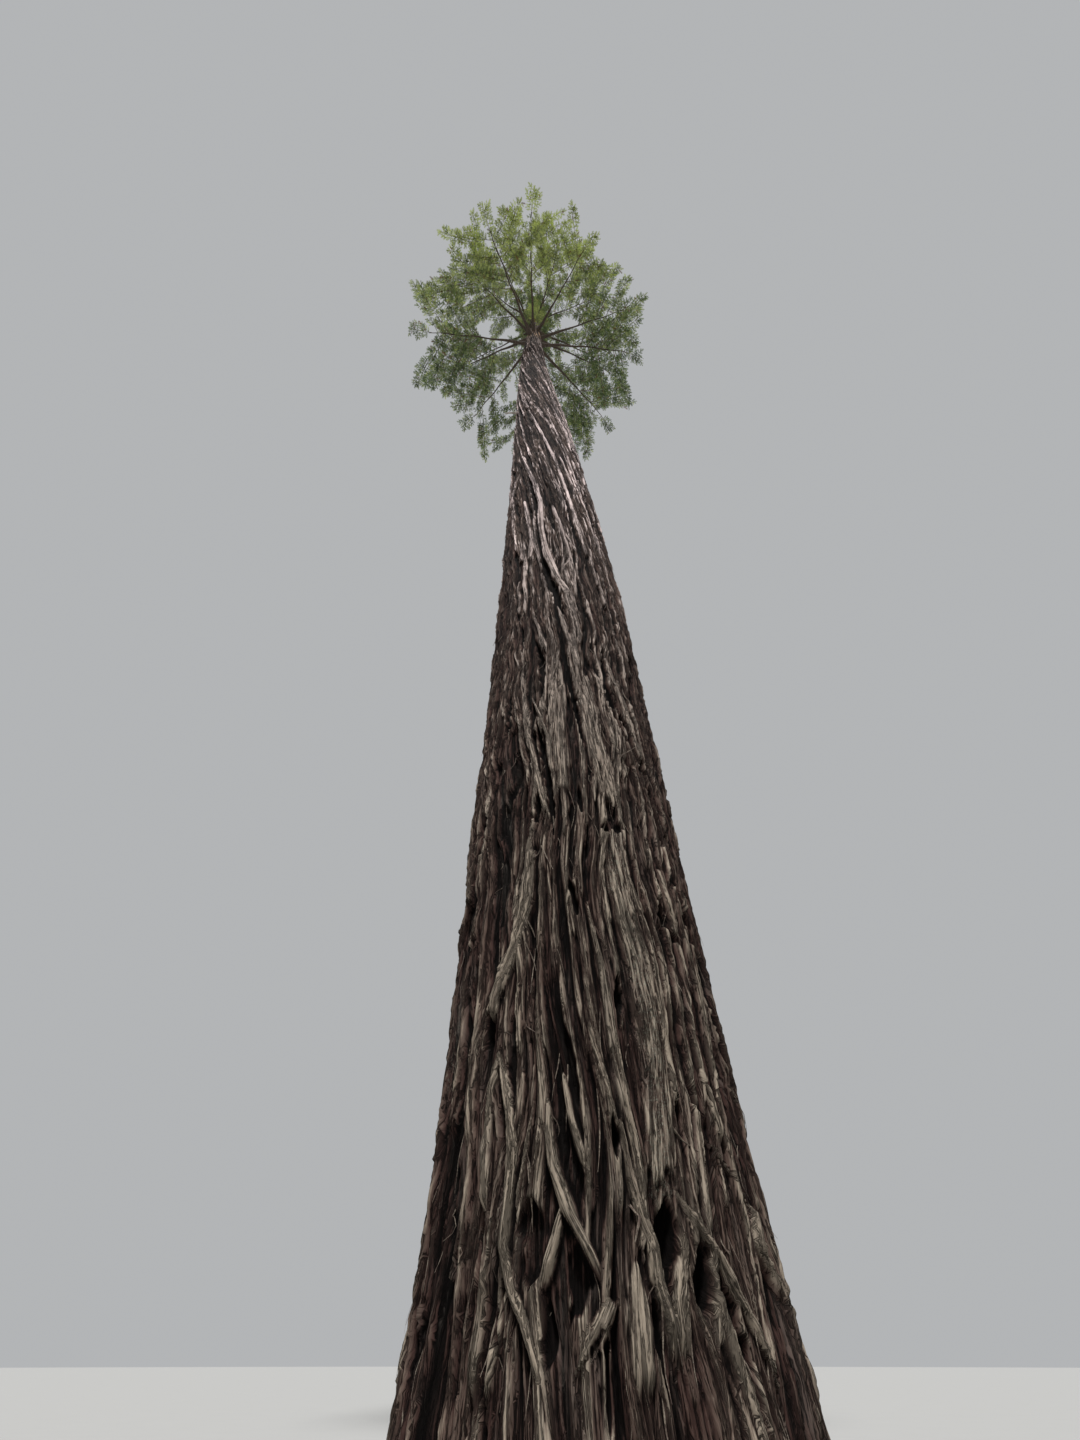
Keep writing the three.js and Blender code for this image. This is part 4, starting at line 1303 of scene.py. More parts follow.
class Bough:
    """One bough of the crown's rule, from its place on the trunk."""

    SEED = 1000
    # At the crown's base and its top: degrees of rise, and the droop as a share of the reach
    RISE = (5, 50)
    DROOP = (0.24, 0.04)
    RISE_VARIES = 8
    BEND_VARIES = 0.16
    LEAST_STEM = 0.4

    def __init__(self, bole, crown, index, azimuth, height):
        draw = seeded(self.SEED + index)
        level = (height - crown.base) / (crown.top - crown.base)
        self.index, self.height, self.azimuth = index, height, math.radians(azimuth)
        self.rise = math.radians(lerp(*self.RISE, level) + self.RISE_VARIES * (next(draw) - 0.5))
        shrink = (1 - np.clip(level, 0, 1) ** crown.fullness) ** crown.rounding
        self.reach = crown.reach * float(shrink) * varied(draw, 0.08)
        self.droop = lerp(*self.DROOP, level) * varied(draw, 0.2)
        self.bend = self.BEND_VARIES * (next(draw) - 0.5)
        self.radius = lerp(crown.bough_radius_low, crown.bough_radius_high, level) * varied(draw, 0.15)
        self.foot = float(bole.axis(height))
        self.last = max(self.LEAST_STEM, 1 - BLADE_LENGTH / self.reach / 2)

    def place(self, share):
        out = share * self.reach
        azimuth = self.azimuth + self.bend * share
        height = self.height + out * math.tan(self.rise) - self.droop * self.reach * share * share
        return np.array([self.foot + out * math.cos(azimuth), out * math.sin(azimuth), height])

    def part(self, first, last):
        return Path(lambda t: self.place(lerp(first, last, t)))


class Mass:
    """A mass of foliage: the stem that it grows from, and how far its twigs spread."""

    def __init__(self, seed, path, radius, spread, first_twig):
        self.seed, self.path, self.radius = seed, path, radius
        self.spread, self.first_twig = spread, first_twig
        outward = path.tangent(0.5)
        across = np.cross(outward, UP)
        across = np.array((0.0, 1.0, 0.0)) if np.linalg.norm(across) < UPRIGHT else unit(across)
        self.turn_axis = unit(np.cross(across, outward))
        self.line = path.line()


class Space:
    """Which mass a place belongs to, and whether it keeps off the trunk and the limbs."""

    LIMB_CLEARANCE = 0.025
    SPACE_CLEARANCE = 0.014

    def __init__(self, bole, limbs, masses):
        self.bole = bole
        self.lines = np.array([mass.line for mass in masses])
        self.limbs = np.array([line for line, _, _ in limbs])
        self.limb_radii = np.array([(start, finish) for _, start, finish in limbs])

    @staticmethod
    def nearest(points, lines):
        """Distance from each point to each line, and the share along it."""
        a, b = lines[:, :-1], lines[:, 1:]
        step = b - a
        off = points[:, None, None, :] - a[None]
        along = np.clip((off * step[None]).sum(-1) / (step * step).sum(-1)[None], 0, 1)
        gap = np.linalg.norm(off - along[..., None] * step[None], axis=-1)
        best = gap.argmin(axis=-1)[..., None]
        distance = np.take_along_axis(gap, best, -1)[..., 0]
        share = (best + np.take_along_axis(along, best, -1))[..., 0] / (lines.shape[1] - 1)
        return distance, share

    def fits(self, points, own):
        """Whether all points lie in the space of a mass, clear of the trunk and the limbs."""
        points = np.asarray(points)
        z = points[:, 2]
        off = np.hypot(points[:, 0] - self.bole.axis(z), points[:, 1])
        clear = self.bole.radius(z) + self.bole.t.flute_depth + self.LIMB_CLEARANCE
        if np.any((z < self.bole.t.height) & (off < clear)):
            return False
        distance, _ = self.nearest(points, self.lines)
        mine = distance[:, own].copy()
        distance[:, own] = np.inf
        if np.any(distance.min(axis=1) < mine + self.SPACE_CLEARANCE):
            return False
        distance, share = self.nearest(points, self.limbs)
        radius = lerp(self.limb_radii[:, 0], self.limb_radii[:, 1], share)
        return not np.any(distance < radius + self.LIMB_CLEARANCE)


class Blade(NamedTuple):
    """Where a fan of twiglets lies, as one blade of the solids does."""

    along: np.ndarray
    side: np.ndarray
    up: np.ndarray
    root: np.ndarray
    reach: float

    def samples(self):
        width = self.reach * BLADE_WIDTH / BLADE_LENGTH
        ribs = [self.root + self.along * (a * self.reach) for a, _ in BLADE_TEETH]
        aside = [self.side * (b * width) for _, b in BLADE_TEETH]
        right = [rib + off for rib, off in zip(ribs, aside)]
        left = [rib - off for rib, off in zip(ribs, aside)]
        outline = right + left[-2:0:-1]
        tip = outline[len(outline) // 2]
        samples = []
        for i, corner in enumerate(outline):
            rib = lerp(outline[0], tip, i / len(outline))
            following = outline[(i + 1) % len(outline)]
            samples += [corner, rib, lerp(corner, following, 0.5), lerp(corner, rib, 0.5)]
        return samples


def fitting_blade(middle, direction, size, tilt, space, own):
    """The largest blade round a place that fits into the space of a mass."""
    along = unit(direction)
    level = np.cross(along, UP)
    level = unit(level) if np.linalg.norm(level) >= UPRIGHT else np.array((1.0, 0.0, 0.0))
    side = turned(level, along, tilt)
    up = np.cross(side, along)
    for shorter in BLADE_TRIES:
        reach = BLADE_LENGTH * size * shorter
        blade = Blade(along, side, up, middle - along * (BLADE_SUNK * reach), reach)
        if space.fits(blade.samples(), own):
            return blade
    return None


def left_or_right(i):
    """Which side each twig in a row leaves to, in turn."""
    return 1 if i % 2 else -1


def twigs_of(mass, own, space):
    """The twigs of a mass by the solids' rule: foot, fan at the end, and share of the stem."""
    draw = seeded(TWIG_SEED + mass.seed)
    scale = max(BLADE_LEAST, mass.spread / (TWIG_SPREAD * FULL_REACH))
    twigs = math.floor(FULL_TWIGS * scale + 0.5)
    stem_end = mass.path.at(1.0)
    heading = turned(mass.path.tangent(1.0), mass.turn_axis, END_NOD)
    made, middles = [], []
    blade = fitting_blade(stem_end, heading, scale, END_TILT * varied(draw, 0.5), space, own)
    if blade:
        made.append((mass.path.at(0.93), blade, 1.0))
        middles.append(stem_end)
    for i in range(twigs):
        share = lerp(mass.first_twig, LAST_TWIG, (i + 0.5 * next(draw)) / (twigs - 0.5))
        yaw = left_or_right(i) * (TWIG_YAW[0] + TWIG_YAW[1] * next(draw))
        pitch = TWIG_PITCH[0] + TWIG_PITCH[1] * (next(draw) - 0.5)
        heading = unit(turned(mass.path.tangent(share), mass.turn_axis, yaw) + mass.turn_axis * pitch)
        full = mass.spread * (1 - SHORTER_OUTWARDS * share) * varied(draw, 0.2)
        size = scale * varied(draw, 0.15)
        tilt = FAN_TILT * (next(draw) - 0.5)
        foot = mass.path.at(share)
        for shorter in TWIG_TRIES:
            if full * shorter < SHORTEST_TWIG:
                break
            end = foot + heading * (full * shorter)
            if any(np.linalg.norm(m - end) < TWIGS_APART * size * BLADE_LENGTH for m in middles):
                continue
            blade = fitting_blade(end, heading, size, tilt, space, own)
            if not blade or not space.fits([lerp(foot, end, 0.3), lerp(foot, end, 0.6)], own):
                continue
            made.append((foot, blade, share))
            middles.append(end)
            break
    return made


def crown_plan(bole, crown):
    """The boughs, the leader's shoots, the masses that grow on from them, and their space."""
    boughs = [Bough(bole, crown, i, azimuth, height) for i, (azimuth, height) in enumerate(LOW_WHORL)]
    for i in range(crown.upper_boughs):
        azimuth, height = FIRST_AZIMUTH + i * GOLDEN_ANGLE, UPPER_BOUGHS_FROM + i * UPPER_BOUGHS_STEP
        boughs.append(Bough(bole, crown, len(boughs), azimuth, height))
    limbs, masses = [], []
    for bough in boughs:
        end = LIMB_END * bough.radius
        limbs.append((bough.part(0.0, BOUGH_SHARE).line(), bough.radius, end))
        stem = bough.part(BOUGH_SHARE, bough.last)
        masses.append(Mass(bough.index, stem, end, TWIG_SPREAD * bough.reach, FIRST_TWIG))
    shoots = []
    for i in range(crown.leader_shoots):
        azimuth = FIRST_AZIMUTH + (crown.upper_boughs + i) * GOLDEN_ANGLE
        shoot = Bough(bole, crown, len(boughs) + i, azimuth, SHOOTS_FROM + i * SHOOTS_STEP)
        shoots.append(shoot)
        stem = shoot.part(0.0, shoot.last)
        masses.append(Mass(shoot.index, stem, SHOOT_SLIMMER * shoot.radius, TWIG_SPREAD * shoot.reach,
                           FIRST_SHOOT_TWIG))
    height = bole.t.height
    foot = np.array([float(bole.axis(height)), 0.0, height - 0.05])
    blade = (1 - BLADE_SUNK) * BLADE_LEAST * BLADE_LENGTH
    top = np.array([foot[0], 0.0, crown.top - blade * math.cos(END_NOD)])
    leader = Path(lambda t: lerp(foot, top, t))
    masses.append(Mass(len(masses), leader, 0.8 * bole.t.tip_radius, TIP_SPREAD, FIRST_TIP_TWIG))
    return boughs, shoots, masses, Space(bole, limbs, masses)


class Spray(NamedTuple):
    """A spray of needles on its twiglet, and the light that it gets."""

    place: np.ndarray
    heading: np.ndarray
    upward: np.ndarray
    size: float
    light: float


CROWN_ASIDE = 0.4


def light_at(place, crown):
    """How much light foliage gets: more at the front, high up and far out."""
    out = math.hypot(place[0] + CROWN_ASIDE, place[1]) / crown.reach
    level = (place[2] - crown.base) / (crown.top - crown.base)
    front = max(0.0, -place[1]) / crown.reach
    return 0.25 + 0.2 * out + 0.3 * level + 0.35 * front


def sagging(start, heading, reach, droop, t):
    """The place at a share of a twiglet that sags towards its tip."""
    return start + heading * (reach * t) - UP * (droop * t * t)


class Growth:
    """Everything that grows past the boughs: lines of twigs and twiglets, and places of sprays."""

    # Where twiglets and twigs have points, and how slim they get
    HALVES = (0, 0.5, 1)
    TWIGLET_TAPER = (1, 0.75, 0.4)
    QUARTERS = (0, 0.25, 0.5, 0.75, 1)
    TWIG_TAPER = 0.72
    # Half the width of a fan along it, as shares of the solids' blade
    FAN_WIDTHS = ((0.0, 0.25, 0.6, 1.0), (0.28, 0.5, 0.42, 0.12))
    LIGHT_VARIES = 0.12
    # Radii and reach in metres
    FAN_TWIGLET = 0.0042
    STEM_TWIGLET = 0.0045
    SHOOT_TWIGLET = 0.004
    SHOOT_RADII = (0.007, 0.0055, 0.003)
    SHORT_TWIGLETS = (0.08, 0.26)
    SHOOT_GAP = 0.07

    def __init__(self, foliage, crown, bole):
        self.rng = np.random.default_rng(foliage.seed)
        self.foliage, self.crown, self.bole = foliage, crown, bole
        self.twigs, self.sprays = [], []

    def spray(self, place, heading, upward, size, light):
        self.sprays.append(Spray(place, unit(heading), upward, size, light))

    def twiglet(self, start, heading, upward, reach, radius, light):
        """A thin, sagging side twig with sprays left and right and one at its tip."""
        rng = self.rng
        side = np.cross(heading, upward)
        droop = rng.uniform(0.02, 0.16) * reach
        points = [sagging(start, heading, reach, droop, t) for t in self.HALVES]
        self.twigs.append((points, [radius * share for share in self.TWIGLET_TAPER]))
        steps = max(1, int(reach / self.foliage.spray_gap))
        for i in range(steps):
            t = (i + 0.6) / steps
            place = sagging(start, heading, reach, droop, t)
            out = heading * rng.uniform(0.55, 0.85) + side * left_or_right(i) * rng.uniform(0.5, 0.85)
            out = out + upward * rng.uniform(-0.25, 0.2) - UP * 0.14
            lifted = upward + side * rng.uniform(-0.3, 0.3)
            size = rng.uniform(0.7, 1.0) * (1.08 - 0.35 * t)
            self.spray(place, out, lifted, size, light + rng.normal(0, self.LIGHT_VARIES))
        tip = heading - UP * (2 * droop / max(reach, 0.05))
        size = rng.uniform(0.75, 1.0)
        self.spray(points[-1] - unit(tip) * 0.03, tip, upward, size, light + rng.normal(0, self.LIGHT_VARIES))

    def fan(self, foot, blade, radius, light):
        """A twig to the end of its fan, and twiglets that fill the fan's outline."""
        rng = self.rng
        tip = blade.root + blade.along * (blade.reach * 0.93)
        bend = blade.up * rng.uniform(-0.03, 0.03)
        full = np.linalg.norm(tip - foot)
        points = [lerp(foot, tip, t) + bend * math.sin(math.pi * t) for t in self.QUARTERS]
        self.twigs.append((points, [radius * (1 - self.TWIG_TAPER * t) for t in self.QUARTERS]))
        before = max(0.0, float(np.dot(blade.root - foot, blade.along)))
        steps = max(3, int((full - 0.08) / self.foliage.twiglet_gap))
        for i in range(steps):
            out = 0.08 + (full - 0.1) * (i + rng.uniform(0.2, 0.8)) / steps
            share = (out - before) / blade.reach
            if share < 0.05:
                # Before the fan, a few short twiglets
                if rng.random() < 0.45:
                    continue
                wide = 0.16
            else:
                width = float(np.interp(share, *self.FAN_WIDTHS))
                wide = BLADE_WIDTH / BLADE_LENGTH * blade.reach * width
            slope = rng.uniform(0.6, 1.0)
            roll = rng.normal(0, 0.3)
            lateral = blade.side * math.cos(roll) * left_or_right(i) + blade.up * math.sin(roll)
            heading = unit(blade.along * slope + lateral)
            place = foot + unit(tip - foot) * out + bend * math.sin(math.pi * out / full)
            long = wide * rng.uniform(0.75, 1.1) * math.hypot(1.0, slope) - 0.07
            level = unit(blade.up + UP * 0.6)
            self.twiglet(place, heading, level, max(0.05, long), self.FAN_TWIGLET, light)
        self.spray(tip - blade.along * 0.04, blade.along, blade.up, 1.0, light)
        for _ in range(int(full / self.foliage.hanging_gap)):
            t = rng.uniform(0.15, 0.95)
            place = lerp(foot, tip, t) + bend * math.sin(math.pi * t)
            heading = unit(blade.along * rng.uniform(0.1, 0.7) + blade.side * rng.uniform(-0.6, 0.6)
                           - UP * rng.uniform(0.6, 1.1))
            level = unit(blade.along + 0.2 * blade.up)
            reach = rng.uniform(*self.SHORT_TWIGLETS)
            self.twiglet(place, heading, level, reach, self.FAN_TWIGLET, light - self.LIGHT_VARIES)

    def bare(self, path, low, high, number, light):
        """Small leafy twiglets straight on a stem, between two shares of its length."""
        rng = self.rng
        for _ in range(number):
            u = rng.uniform(low, high)
            tangent = path.tangent(u)
            side = unit(np.cross(tangent, UP) + 1e-6)
            heading = tangent * rng.uniform(0.3, 0.9) + side * rng.choice((-1, 1))
            heading = unit(heading + UP * rng.uniform(-0.6, 0.35))
            self.twiglet(path.at(u), heading, unit(UP + 0.3 * side), rng.uniform(*self.SHORT_TWIGLETS),
                         self.STEM_TWIGLET, light)

    def shoots(self, number):
        """Short leafy shoots on the trunk between the boughs."""
        rng, bole = self.rng, self.bole
        low, high = self.crown.base + 2.5, bole.t.height - 0.4
        for i in range(number):
            z = lerp(low, high, (i + rng.random()) / number)
            azimuth = math.radians(i * GOLDEN_ANGLE) + rng.uniform(-0.4, 0.4)
            out = np.array((math.cos(azimuth), math.sin(azimuth), 0.0))
            reach = rng.uniform(0.25, 0.6) * lerp(1.0, 0.6, (z - low) / (high - low))
            heading = unit(out + UP * rng.uniform(-0.1, 0.5))
            start = np.array((float(bole.axis(z)), 0.0, z)) + out * (float(bole.radius(z)) - 0.03)
            droop = 0.15 * reach
            points = [sagging(start, heading, reach, droop, t) for t in self.HALVES]
            self.twigs.append((points, self.SHOOT_RADII))
            side = unit(np.cross(heading, UP))
            light = 0.3 + 0.3 * max(0.0, -out[1])
            steps = max(3, int(reach / self.SHOOT_GAP))
            for k in range(steps):
                place = sagging(start, heading, reach, droop, 0.25 + 0.75 * (k + 0.5) / steps)
                way = heading * rng.uniform(0.4, 0.9) + side * left_or_right(k) * rng.uniform(0.4, 0.9)
                way = unit(way - UP * rng.uniform(0.0, 0.5))
                self.twiglet(place, way, unit(UP + 0.3 * side), rng.uniform(0.06, 0.2),
                             self.SHOOT_TWIGLET, light)


# A needle's foot before and after its place on the rib, and half the rib's width, at its end and along it
SPRAY_KINDS = 3
NEEDLE_PAIRS = 8
NEEDLE_BACK = np.array((0.045, 0, 0))
NEEDLE_FRONT = np.array((0.065, 0, 0))
END_SIDE = np.array((0, 0.035, 0))
RIB_SIDE = np.array((0, 0.008, 0))


def spray_shapes(foliage):
    """Flat sprays of one metre: two rows of needles on a slim rib, each a slim face."""
    rng = np.random.default_rng(foliage.seed + 5)
    collection = bpy.data.collections.new("spray_shapes")
    wide = foliage.spray_width / foliage.spray_length
    for kind in range(SPRAY_KINDS):
        places, faces = [], []

        def face(corners, order):
            faces.append(tuple(len(places) + i for i in order))
            places.extend(map(tuple, corners))

        def rib(t):
            return np.array([t, 0.05 * math.sin(2.2 * t + kind), -0.1 * t * t])
        for i in range(NEEDLE_PAIRS):
            t = 0.05 + 0.84 * i / (NEEDLE_PAIRS - 1)
            full = 0.5 * wide * (math.sin(math.pi * (0.14 + 0.78 * t)) ** 0.7) * 1.15
            for sign in (-1, 1):
                out = full * rng.uniform(0.85, 1.12)
                rise = 0.05 * out / 0.2 + rng.uniform(-0.02, 0.02)
                tip = rib(t) + np.array([0.09 + 0.05 * t, sign * out, rise])
                needle = rib(t) - NEEDLE_BACK, rib(t) + NEEDLE_FRONT, tip
                face(needle, (0, 1, 2) if sign > 0 else (1, 0, 2))
        face((rib(0.86) - END_SIDE, rib(0.86) + END_SIDE, rib(1.0)), (0, 2, 1))
        face((rib(0.0) - RIB_SIDE, rib(0.0) + RIB_SIDE, rib(0.9)), (0, 2, 1))
        mesh = bpy.data.meshes.new(f"spray_shape_{kind}")
        mesh.from_pydata(places, [], faces)
        collection.objects.link(bpy.data.objects.new(f"spray_shape_{kind}", mesh))
    return collection


def points_mesh(name, sprays):
    """Points that carry each spray's heading, its way up and its size."""
    mesh = bpy.data.meshes.new(name)
    mesh.vertices.add(len(sprays))
    mesh.vertices.foreach_set("co", np.array([s.place for s in sprays], np.float32).ravel())
    for label in ("heading", "upward"):
        data = np.array([getattr(s, label) for s in sprays], np.float32).ravel()
        mesh.attributes.new(label, "FLOAT_VECTOR", "POINT").data.foreach_set("vector", data)
    sizes = np.array([s.size for s in sprays], np.float32)
    mesh.attributes.new("size", "FLOAT", "POINT").data.foreach_set("value", sizes)
    return mesh


def bole_of(context):
    return Bole(context.scene.redwood_trunk)


# Operators

# Name, setting of its strength, spread in degrees, and degrees round and up from where it shines
LIGHTS = (("key", "key_strength", 8, -94, 56), ("fill", "fill_strength", 60, -100, 20))
LIGHT_DISTANCE = 60
FLOOR_CORNERS = 96
FLOOR_SHADE = 0.96


class REDWOOD_OT_stage(bpy.types.Operator):
    """Make the pale floor, the soft lights and the camera that looks up the trunk"""

    bl_idname = "redwood.stage"
    bl_label = "Stage"

    def execute(self, context):
        scene, look = context.scene, context.scene.redwood_stage
        self.camera(scene)
        self.sky(scene, look)
        for light in LIGHTS:
            self.light(scene, look, *light)
        self.floor(look)
        return {"FINISHED"}

    @staticmethod
    def camera(scene):
        camera = bpy.data.cameras.new("camera")
        camera.sensor_width = SENSOR
        camera.lens = SENSOR * FOCAL_PIXELS / FRAME_HEIGHT
        camera.clip_start, camera.clip_end = 0.05, 600.0
        eye = bpy.data.objects.new("camera", camera)
        eye.location = CAMERA_PLACE
        eye.rotation_euler = (math.pi / 2 + CAMERA_RISE, 0.0, 0.0)
        scene.collection.objects.link(eye)
        scene.camera = eye

    @staticmethod
    def sky(scene, look):
        world = bpy.data.worlds.new("soft_sky")
        world.use_nodes = True
        background = world.node_tree.nodes["Background"]
        background.inputs["Color"].default_value = (*look.sky_colour, 1.0)
        background.inputs["Strength"].default_value = look.sky_strength
        scene.world = world
        scene.view_settings.view_transform = "Standard"

    @staticmethod
    def light(scene, look, name, strength, spread, azimuth, height):
        lamp = bpy.data.lights.new(name, "SUN")
        lamp.energy = getattr(look, strength)
        lamp.angle = math.radians(spread)
        holder = bpy.data.objects.new(name, lamp)
        a, e = math.radians(azimuth), math.radians(height)
        towards = Vector((math.cos(a) * math.cos(e), math.sin(a) * math.cos(e), math.sin(e)))
        holder.rotation_euler = towards.to_track_quat("Z", "Y").to_euler()
        holder.location = towards * LIGHT_DISTANCE
        scene.collection.objects.link(holder)

    @staticmethod
    def floor(look):
        angles = [TURN * i / FLOOR_CORNERS for i in range(FLOOR_CORNERS)]
        edge = [(look.floor_radius * math.cos(a), look.floor_radius * math.sin(a), 0.0) for a in angles]
        mesh = bpy.data.meshes.new("floor")
        mesh.from_pydata(edge, [], [tuple(range(FLOOR_CORNERS))])
        material, nodes, shader = new_material("pale_floor", 0.95)
        drift = nodes.mottle(nodes.coordinates(), 1.5, 3.0)
        dark = tuple(FLOOR_SHADE * c for c in look.floor_colour)
        nodes.feed(shader, "Base Color", nodes.mix(drift, dark, look.floor_colour))
        mesh.materials.append(material)
        link("floor", mesh)


class REDWOOD_OT_trunk(bpy.types.Operator):
    """Make the trunk's furrowed bark, in closed lengths one above another"""

    bl_idname = "redwood.trunk"
    bl_label = "Trunk bark"

    # Where each length starts, its row height and its number of columns
    LENGTHS = (
        (0.0, 0.0100, 630), (1.5, 0.0128, 610), (3.5, 0.0240, 500), (8.0, 0.0420, 330), (18.0, 0.0780, 170),
    )
    # How far the rings past each end draw in, so that the length ends inside its neighbour
    TUCK = (0.012, 0.0015)

    def execute(self, context):
        bole, look = bole_of(context), context.scene.redwood_bark
        rng = np.random.default_rng(look.seed + 1)
        slabs = [strip for strip in strips_of(SLABS, bole, rng) if strip.low > SLAB_LOWEST]
        plan = {"plates": strips_of(PLATES, bole, rng), "ridges": ridges_of(look, bole, rng) + slabs,
                "flakes": strips_of(FLAKES, bole, rng) + strips_of(CROSSING, bole, rng),
                "slits": strips_of(SLITS, bole, rng), "strands": strips_of(STRANDS, bole, rng)}
        material = bark_material(look)
        tops = [start for start, _, _ in self.LENGTHS[1:]] + [bole.t.height]
        for number, ((low, step, columns), high) in enumerate(zip(self.LENGTHS, tops), 1):
            rows = int(round((high - low) / step))
            step = (high - low) / rows
            below = len(self.TUCK) if number > 1 else 0
            above = len(self.TUCK) if number < len(self.LENGTHS) else 0
            heights = low + step * np.arange(-Bark.MARGIN - below, rows + 1 + above + Bark.MARGIN)
            bark = Bark(bole, look, heights, columns)
            bark.lay_all(plan)
            self.make(bole, bark, below, above, f"trunk_bark_{number}", material)
        return {"FINISHED"}

    def make(self, bole, bark, below, above, name, material):
        """One length of the trunk, whose points carry the bark's attributes for its material."""
        angle = bark.angles.reshape(1, -1, Bark.FINER).mean(axis=2)
        z = bark.heights[Bark.MARGIN:-Bark.MARGIN, None]
        radius = bole.surface(angle, z) + bark.trimmed(bark.relief * bark.slim[:, None])
        for i, tuck in enumerate(self.TUCK):
            if below:
                radius[i] -= tuck
            if above:
                radius[-1 - i] -= tuck
        rings = np.stack([bole.axis(z) + radius * np.cos(angle), radius * np.sin(angle),
                          np.broadcast_to(z, radius.shape)], axis=-1)
        mesh = tube_of(name, rings, radius)
        for label, grid in (("relief", bark.relief), ("tone", bark.tone), ("edge", bark.edge),
                            ("lichen", bark.lichen)):
            values = np.concatenate([bark.trimmed(grid).ravel(), [-0.05, -0.05]]).astype(np.float32)
            mesh.attributes.new(label, "FLOAT", "POINT").data.foreach_set("value", values)
        grain = np.stack([bark.trimmed(part) for part in bark.around], axis=-1).reshape(-1, 3)
        grain = np.concatenate([grain, np.zeros((2, 3))]).astype(np.float32)
        mesh.attributes.new("grain", "FLOAT_VECTOR", "POINT").data.foreach_set("vector", grain.ravel())
        mesh.materials.append(material)
        settle(link(name, mesh), ["trunk"])


class REDWOOD_OT_shreds(bpy.types.Operator):
    """Make the loose shreds of bark that hang from the trunk's strips"""

    bl_idname = "redwood.shreds"
    bl_label = "Shreds of bark"

    # How deep a shred starts in the bark, and ranges of its length, lift and radius, in metres
    SINK = 0.004
    REACH = (0.05, 0.24)
    LIFT = (0.008, 0.026)
    SIZE = (0.0016, 0.0042)
    STEPS = 5

    def execute(self, context):
        bole, look = bole_of(context), context.scene.redwood_bark
        context.view_layer.update()
        pieces = [piece for piece in context.scene.objects if piece.name.startswith("trunk_bark")]
        rng = np.random.default_rng(look.seed + 4)
        lines = [self.known(pieces, bole, *shred) for shred in KNOWN_SHREDS]
        for _ in range(look.shreds):
            z, angle = 0.15 + 7.0 * rng.random() ** 1.5, rng.uniform(-math.pi, math.pi)
            reach, lift = rng.uniform(*self.REACH), rng.uniform(*self.LIFT)
            slant, curl = rng.normal(0, 0.12), rng.normal(0, 0.02)
            size = rng.uniform(*self.SIZE)
            if z - reach >= 0.02:
                lines.append(self.strewn(pieces, bole, angle, z, reach, lift, slant, curl, size))
        fibre = limb_material("shred_fibres", look.flank_colour, look.crest_colour)
        piece = limbs_along("bark_shreds", lines, sweep_tree(), fibre, sides=5, flatness=0.4)
        settle(piece, ["trunk"])
        return {"FINISHED"}

    def known(self, pieces, bole, pixels, width, lift):
        """A shred that stands out in the view: its points, and its thickness at each."""
        spots = [trunk_spot(bole, x, y) for x, y in pairs(pixels)]
        places = [self.bark_at(pieces, bole, angle, z) for angle, z, _ in spots]
        size = 0.5 * width * spots[0][2]
        steps = len(places) - 1
        points = [place + outward * (lift * i / steps - self.SINK * (i == 0))
                  for i, (place, outward) in enumerate(places)]
        return points, [size * (1 - 0.7 * i / steps) for i in range(len(points))]

    def strewn(self, pieces, bole, angle, z, reach, lift, slant, curl, size):
        """A shred that hangs down from an angle and a height: its points, and its thickness at each."""
        points, sizes = [], []
        for i in range(self.STEPS + 1):
            t = i / self.STEPS
            aside = (slant * reach * t + curl * math.sin(2.5 * t)) / float(bole.radius(z))
            place, outward = self.bark_at(pieces, bole, angle + aside, z - reach * t)
            points.append(place + outward * (lift * t ** 1.6 - self.SINK * (1 - t)))
            sizes.append(size * (1 - 0.8 * t ** 1.5))
        # A shred is stiff: it doesn't follow every dip of the bark
        line = np.array([tuple(p) for p in points])
        line[1:-1] = 0.5 * line[1:-1] + 0.25 * (line[:-2] + line[2:])
        return list(line), sizes

    @staticmethod
    def bark_at(pieces, bole, angle, z):
        """The place on the made bark at an angle and a height, and the way out there."""
        outward = Vector((math.cos(angle), math.sin(angle), 0.0))
        middle = Vector((float(bole.axis(z)), 0.0, z))
        reach = float(bole.surface(angle, z)) + 0.3
        for piece in pieces:
            hit, place, _, _ = piece.ray_cast(middle + outward * reach, -outward, distance=reach)
            if hit:
                return place, outward
        return middle + outward * (reach - 0.32), outward


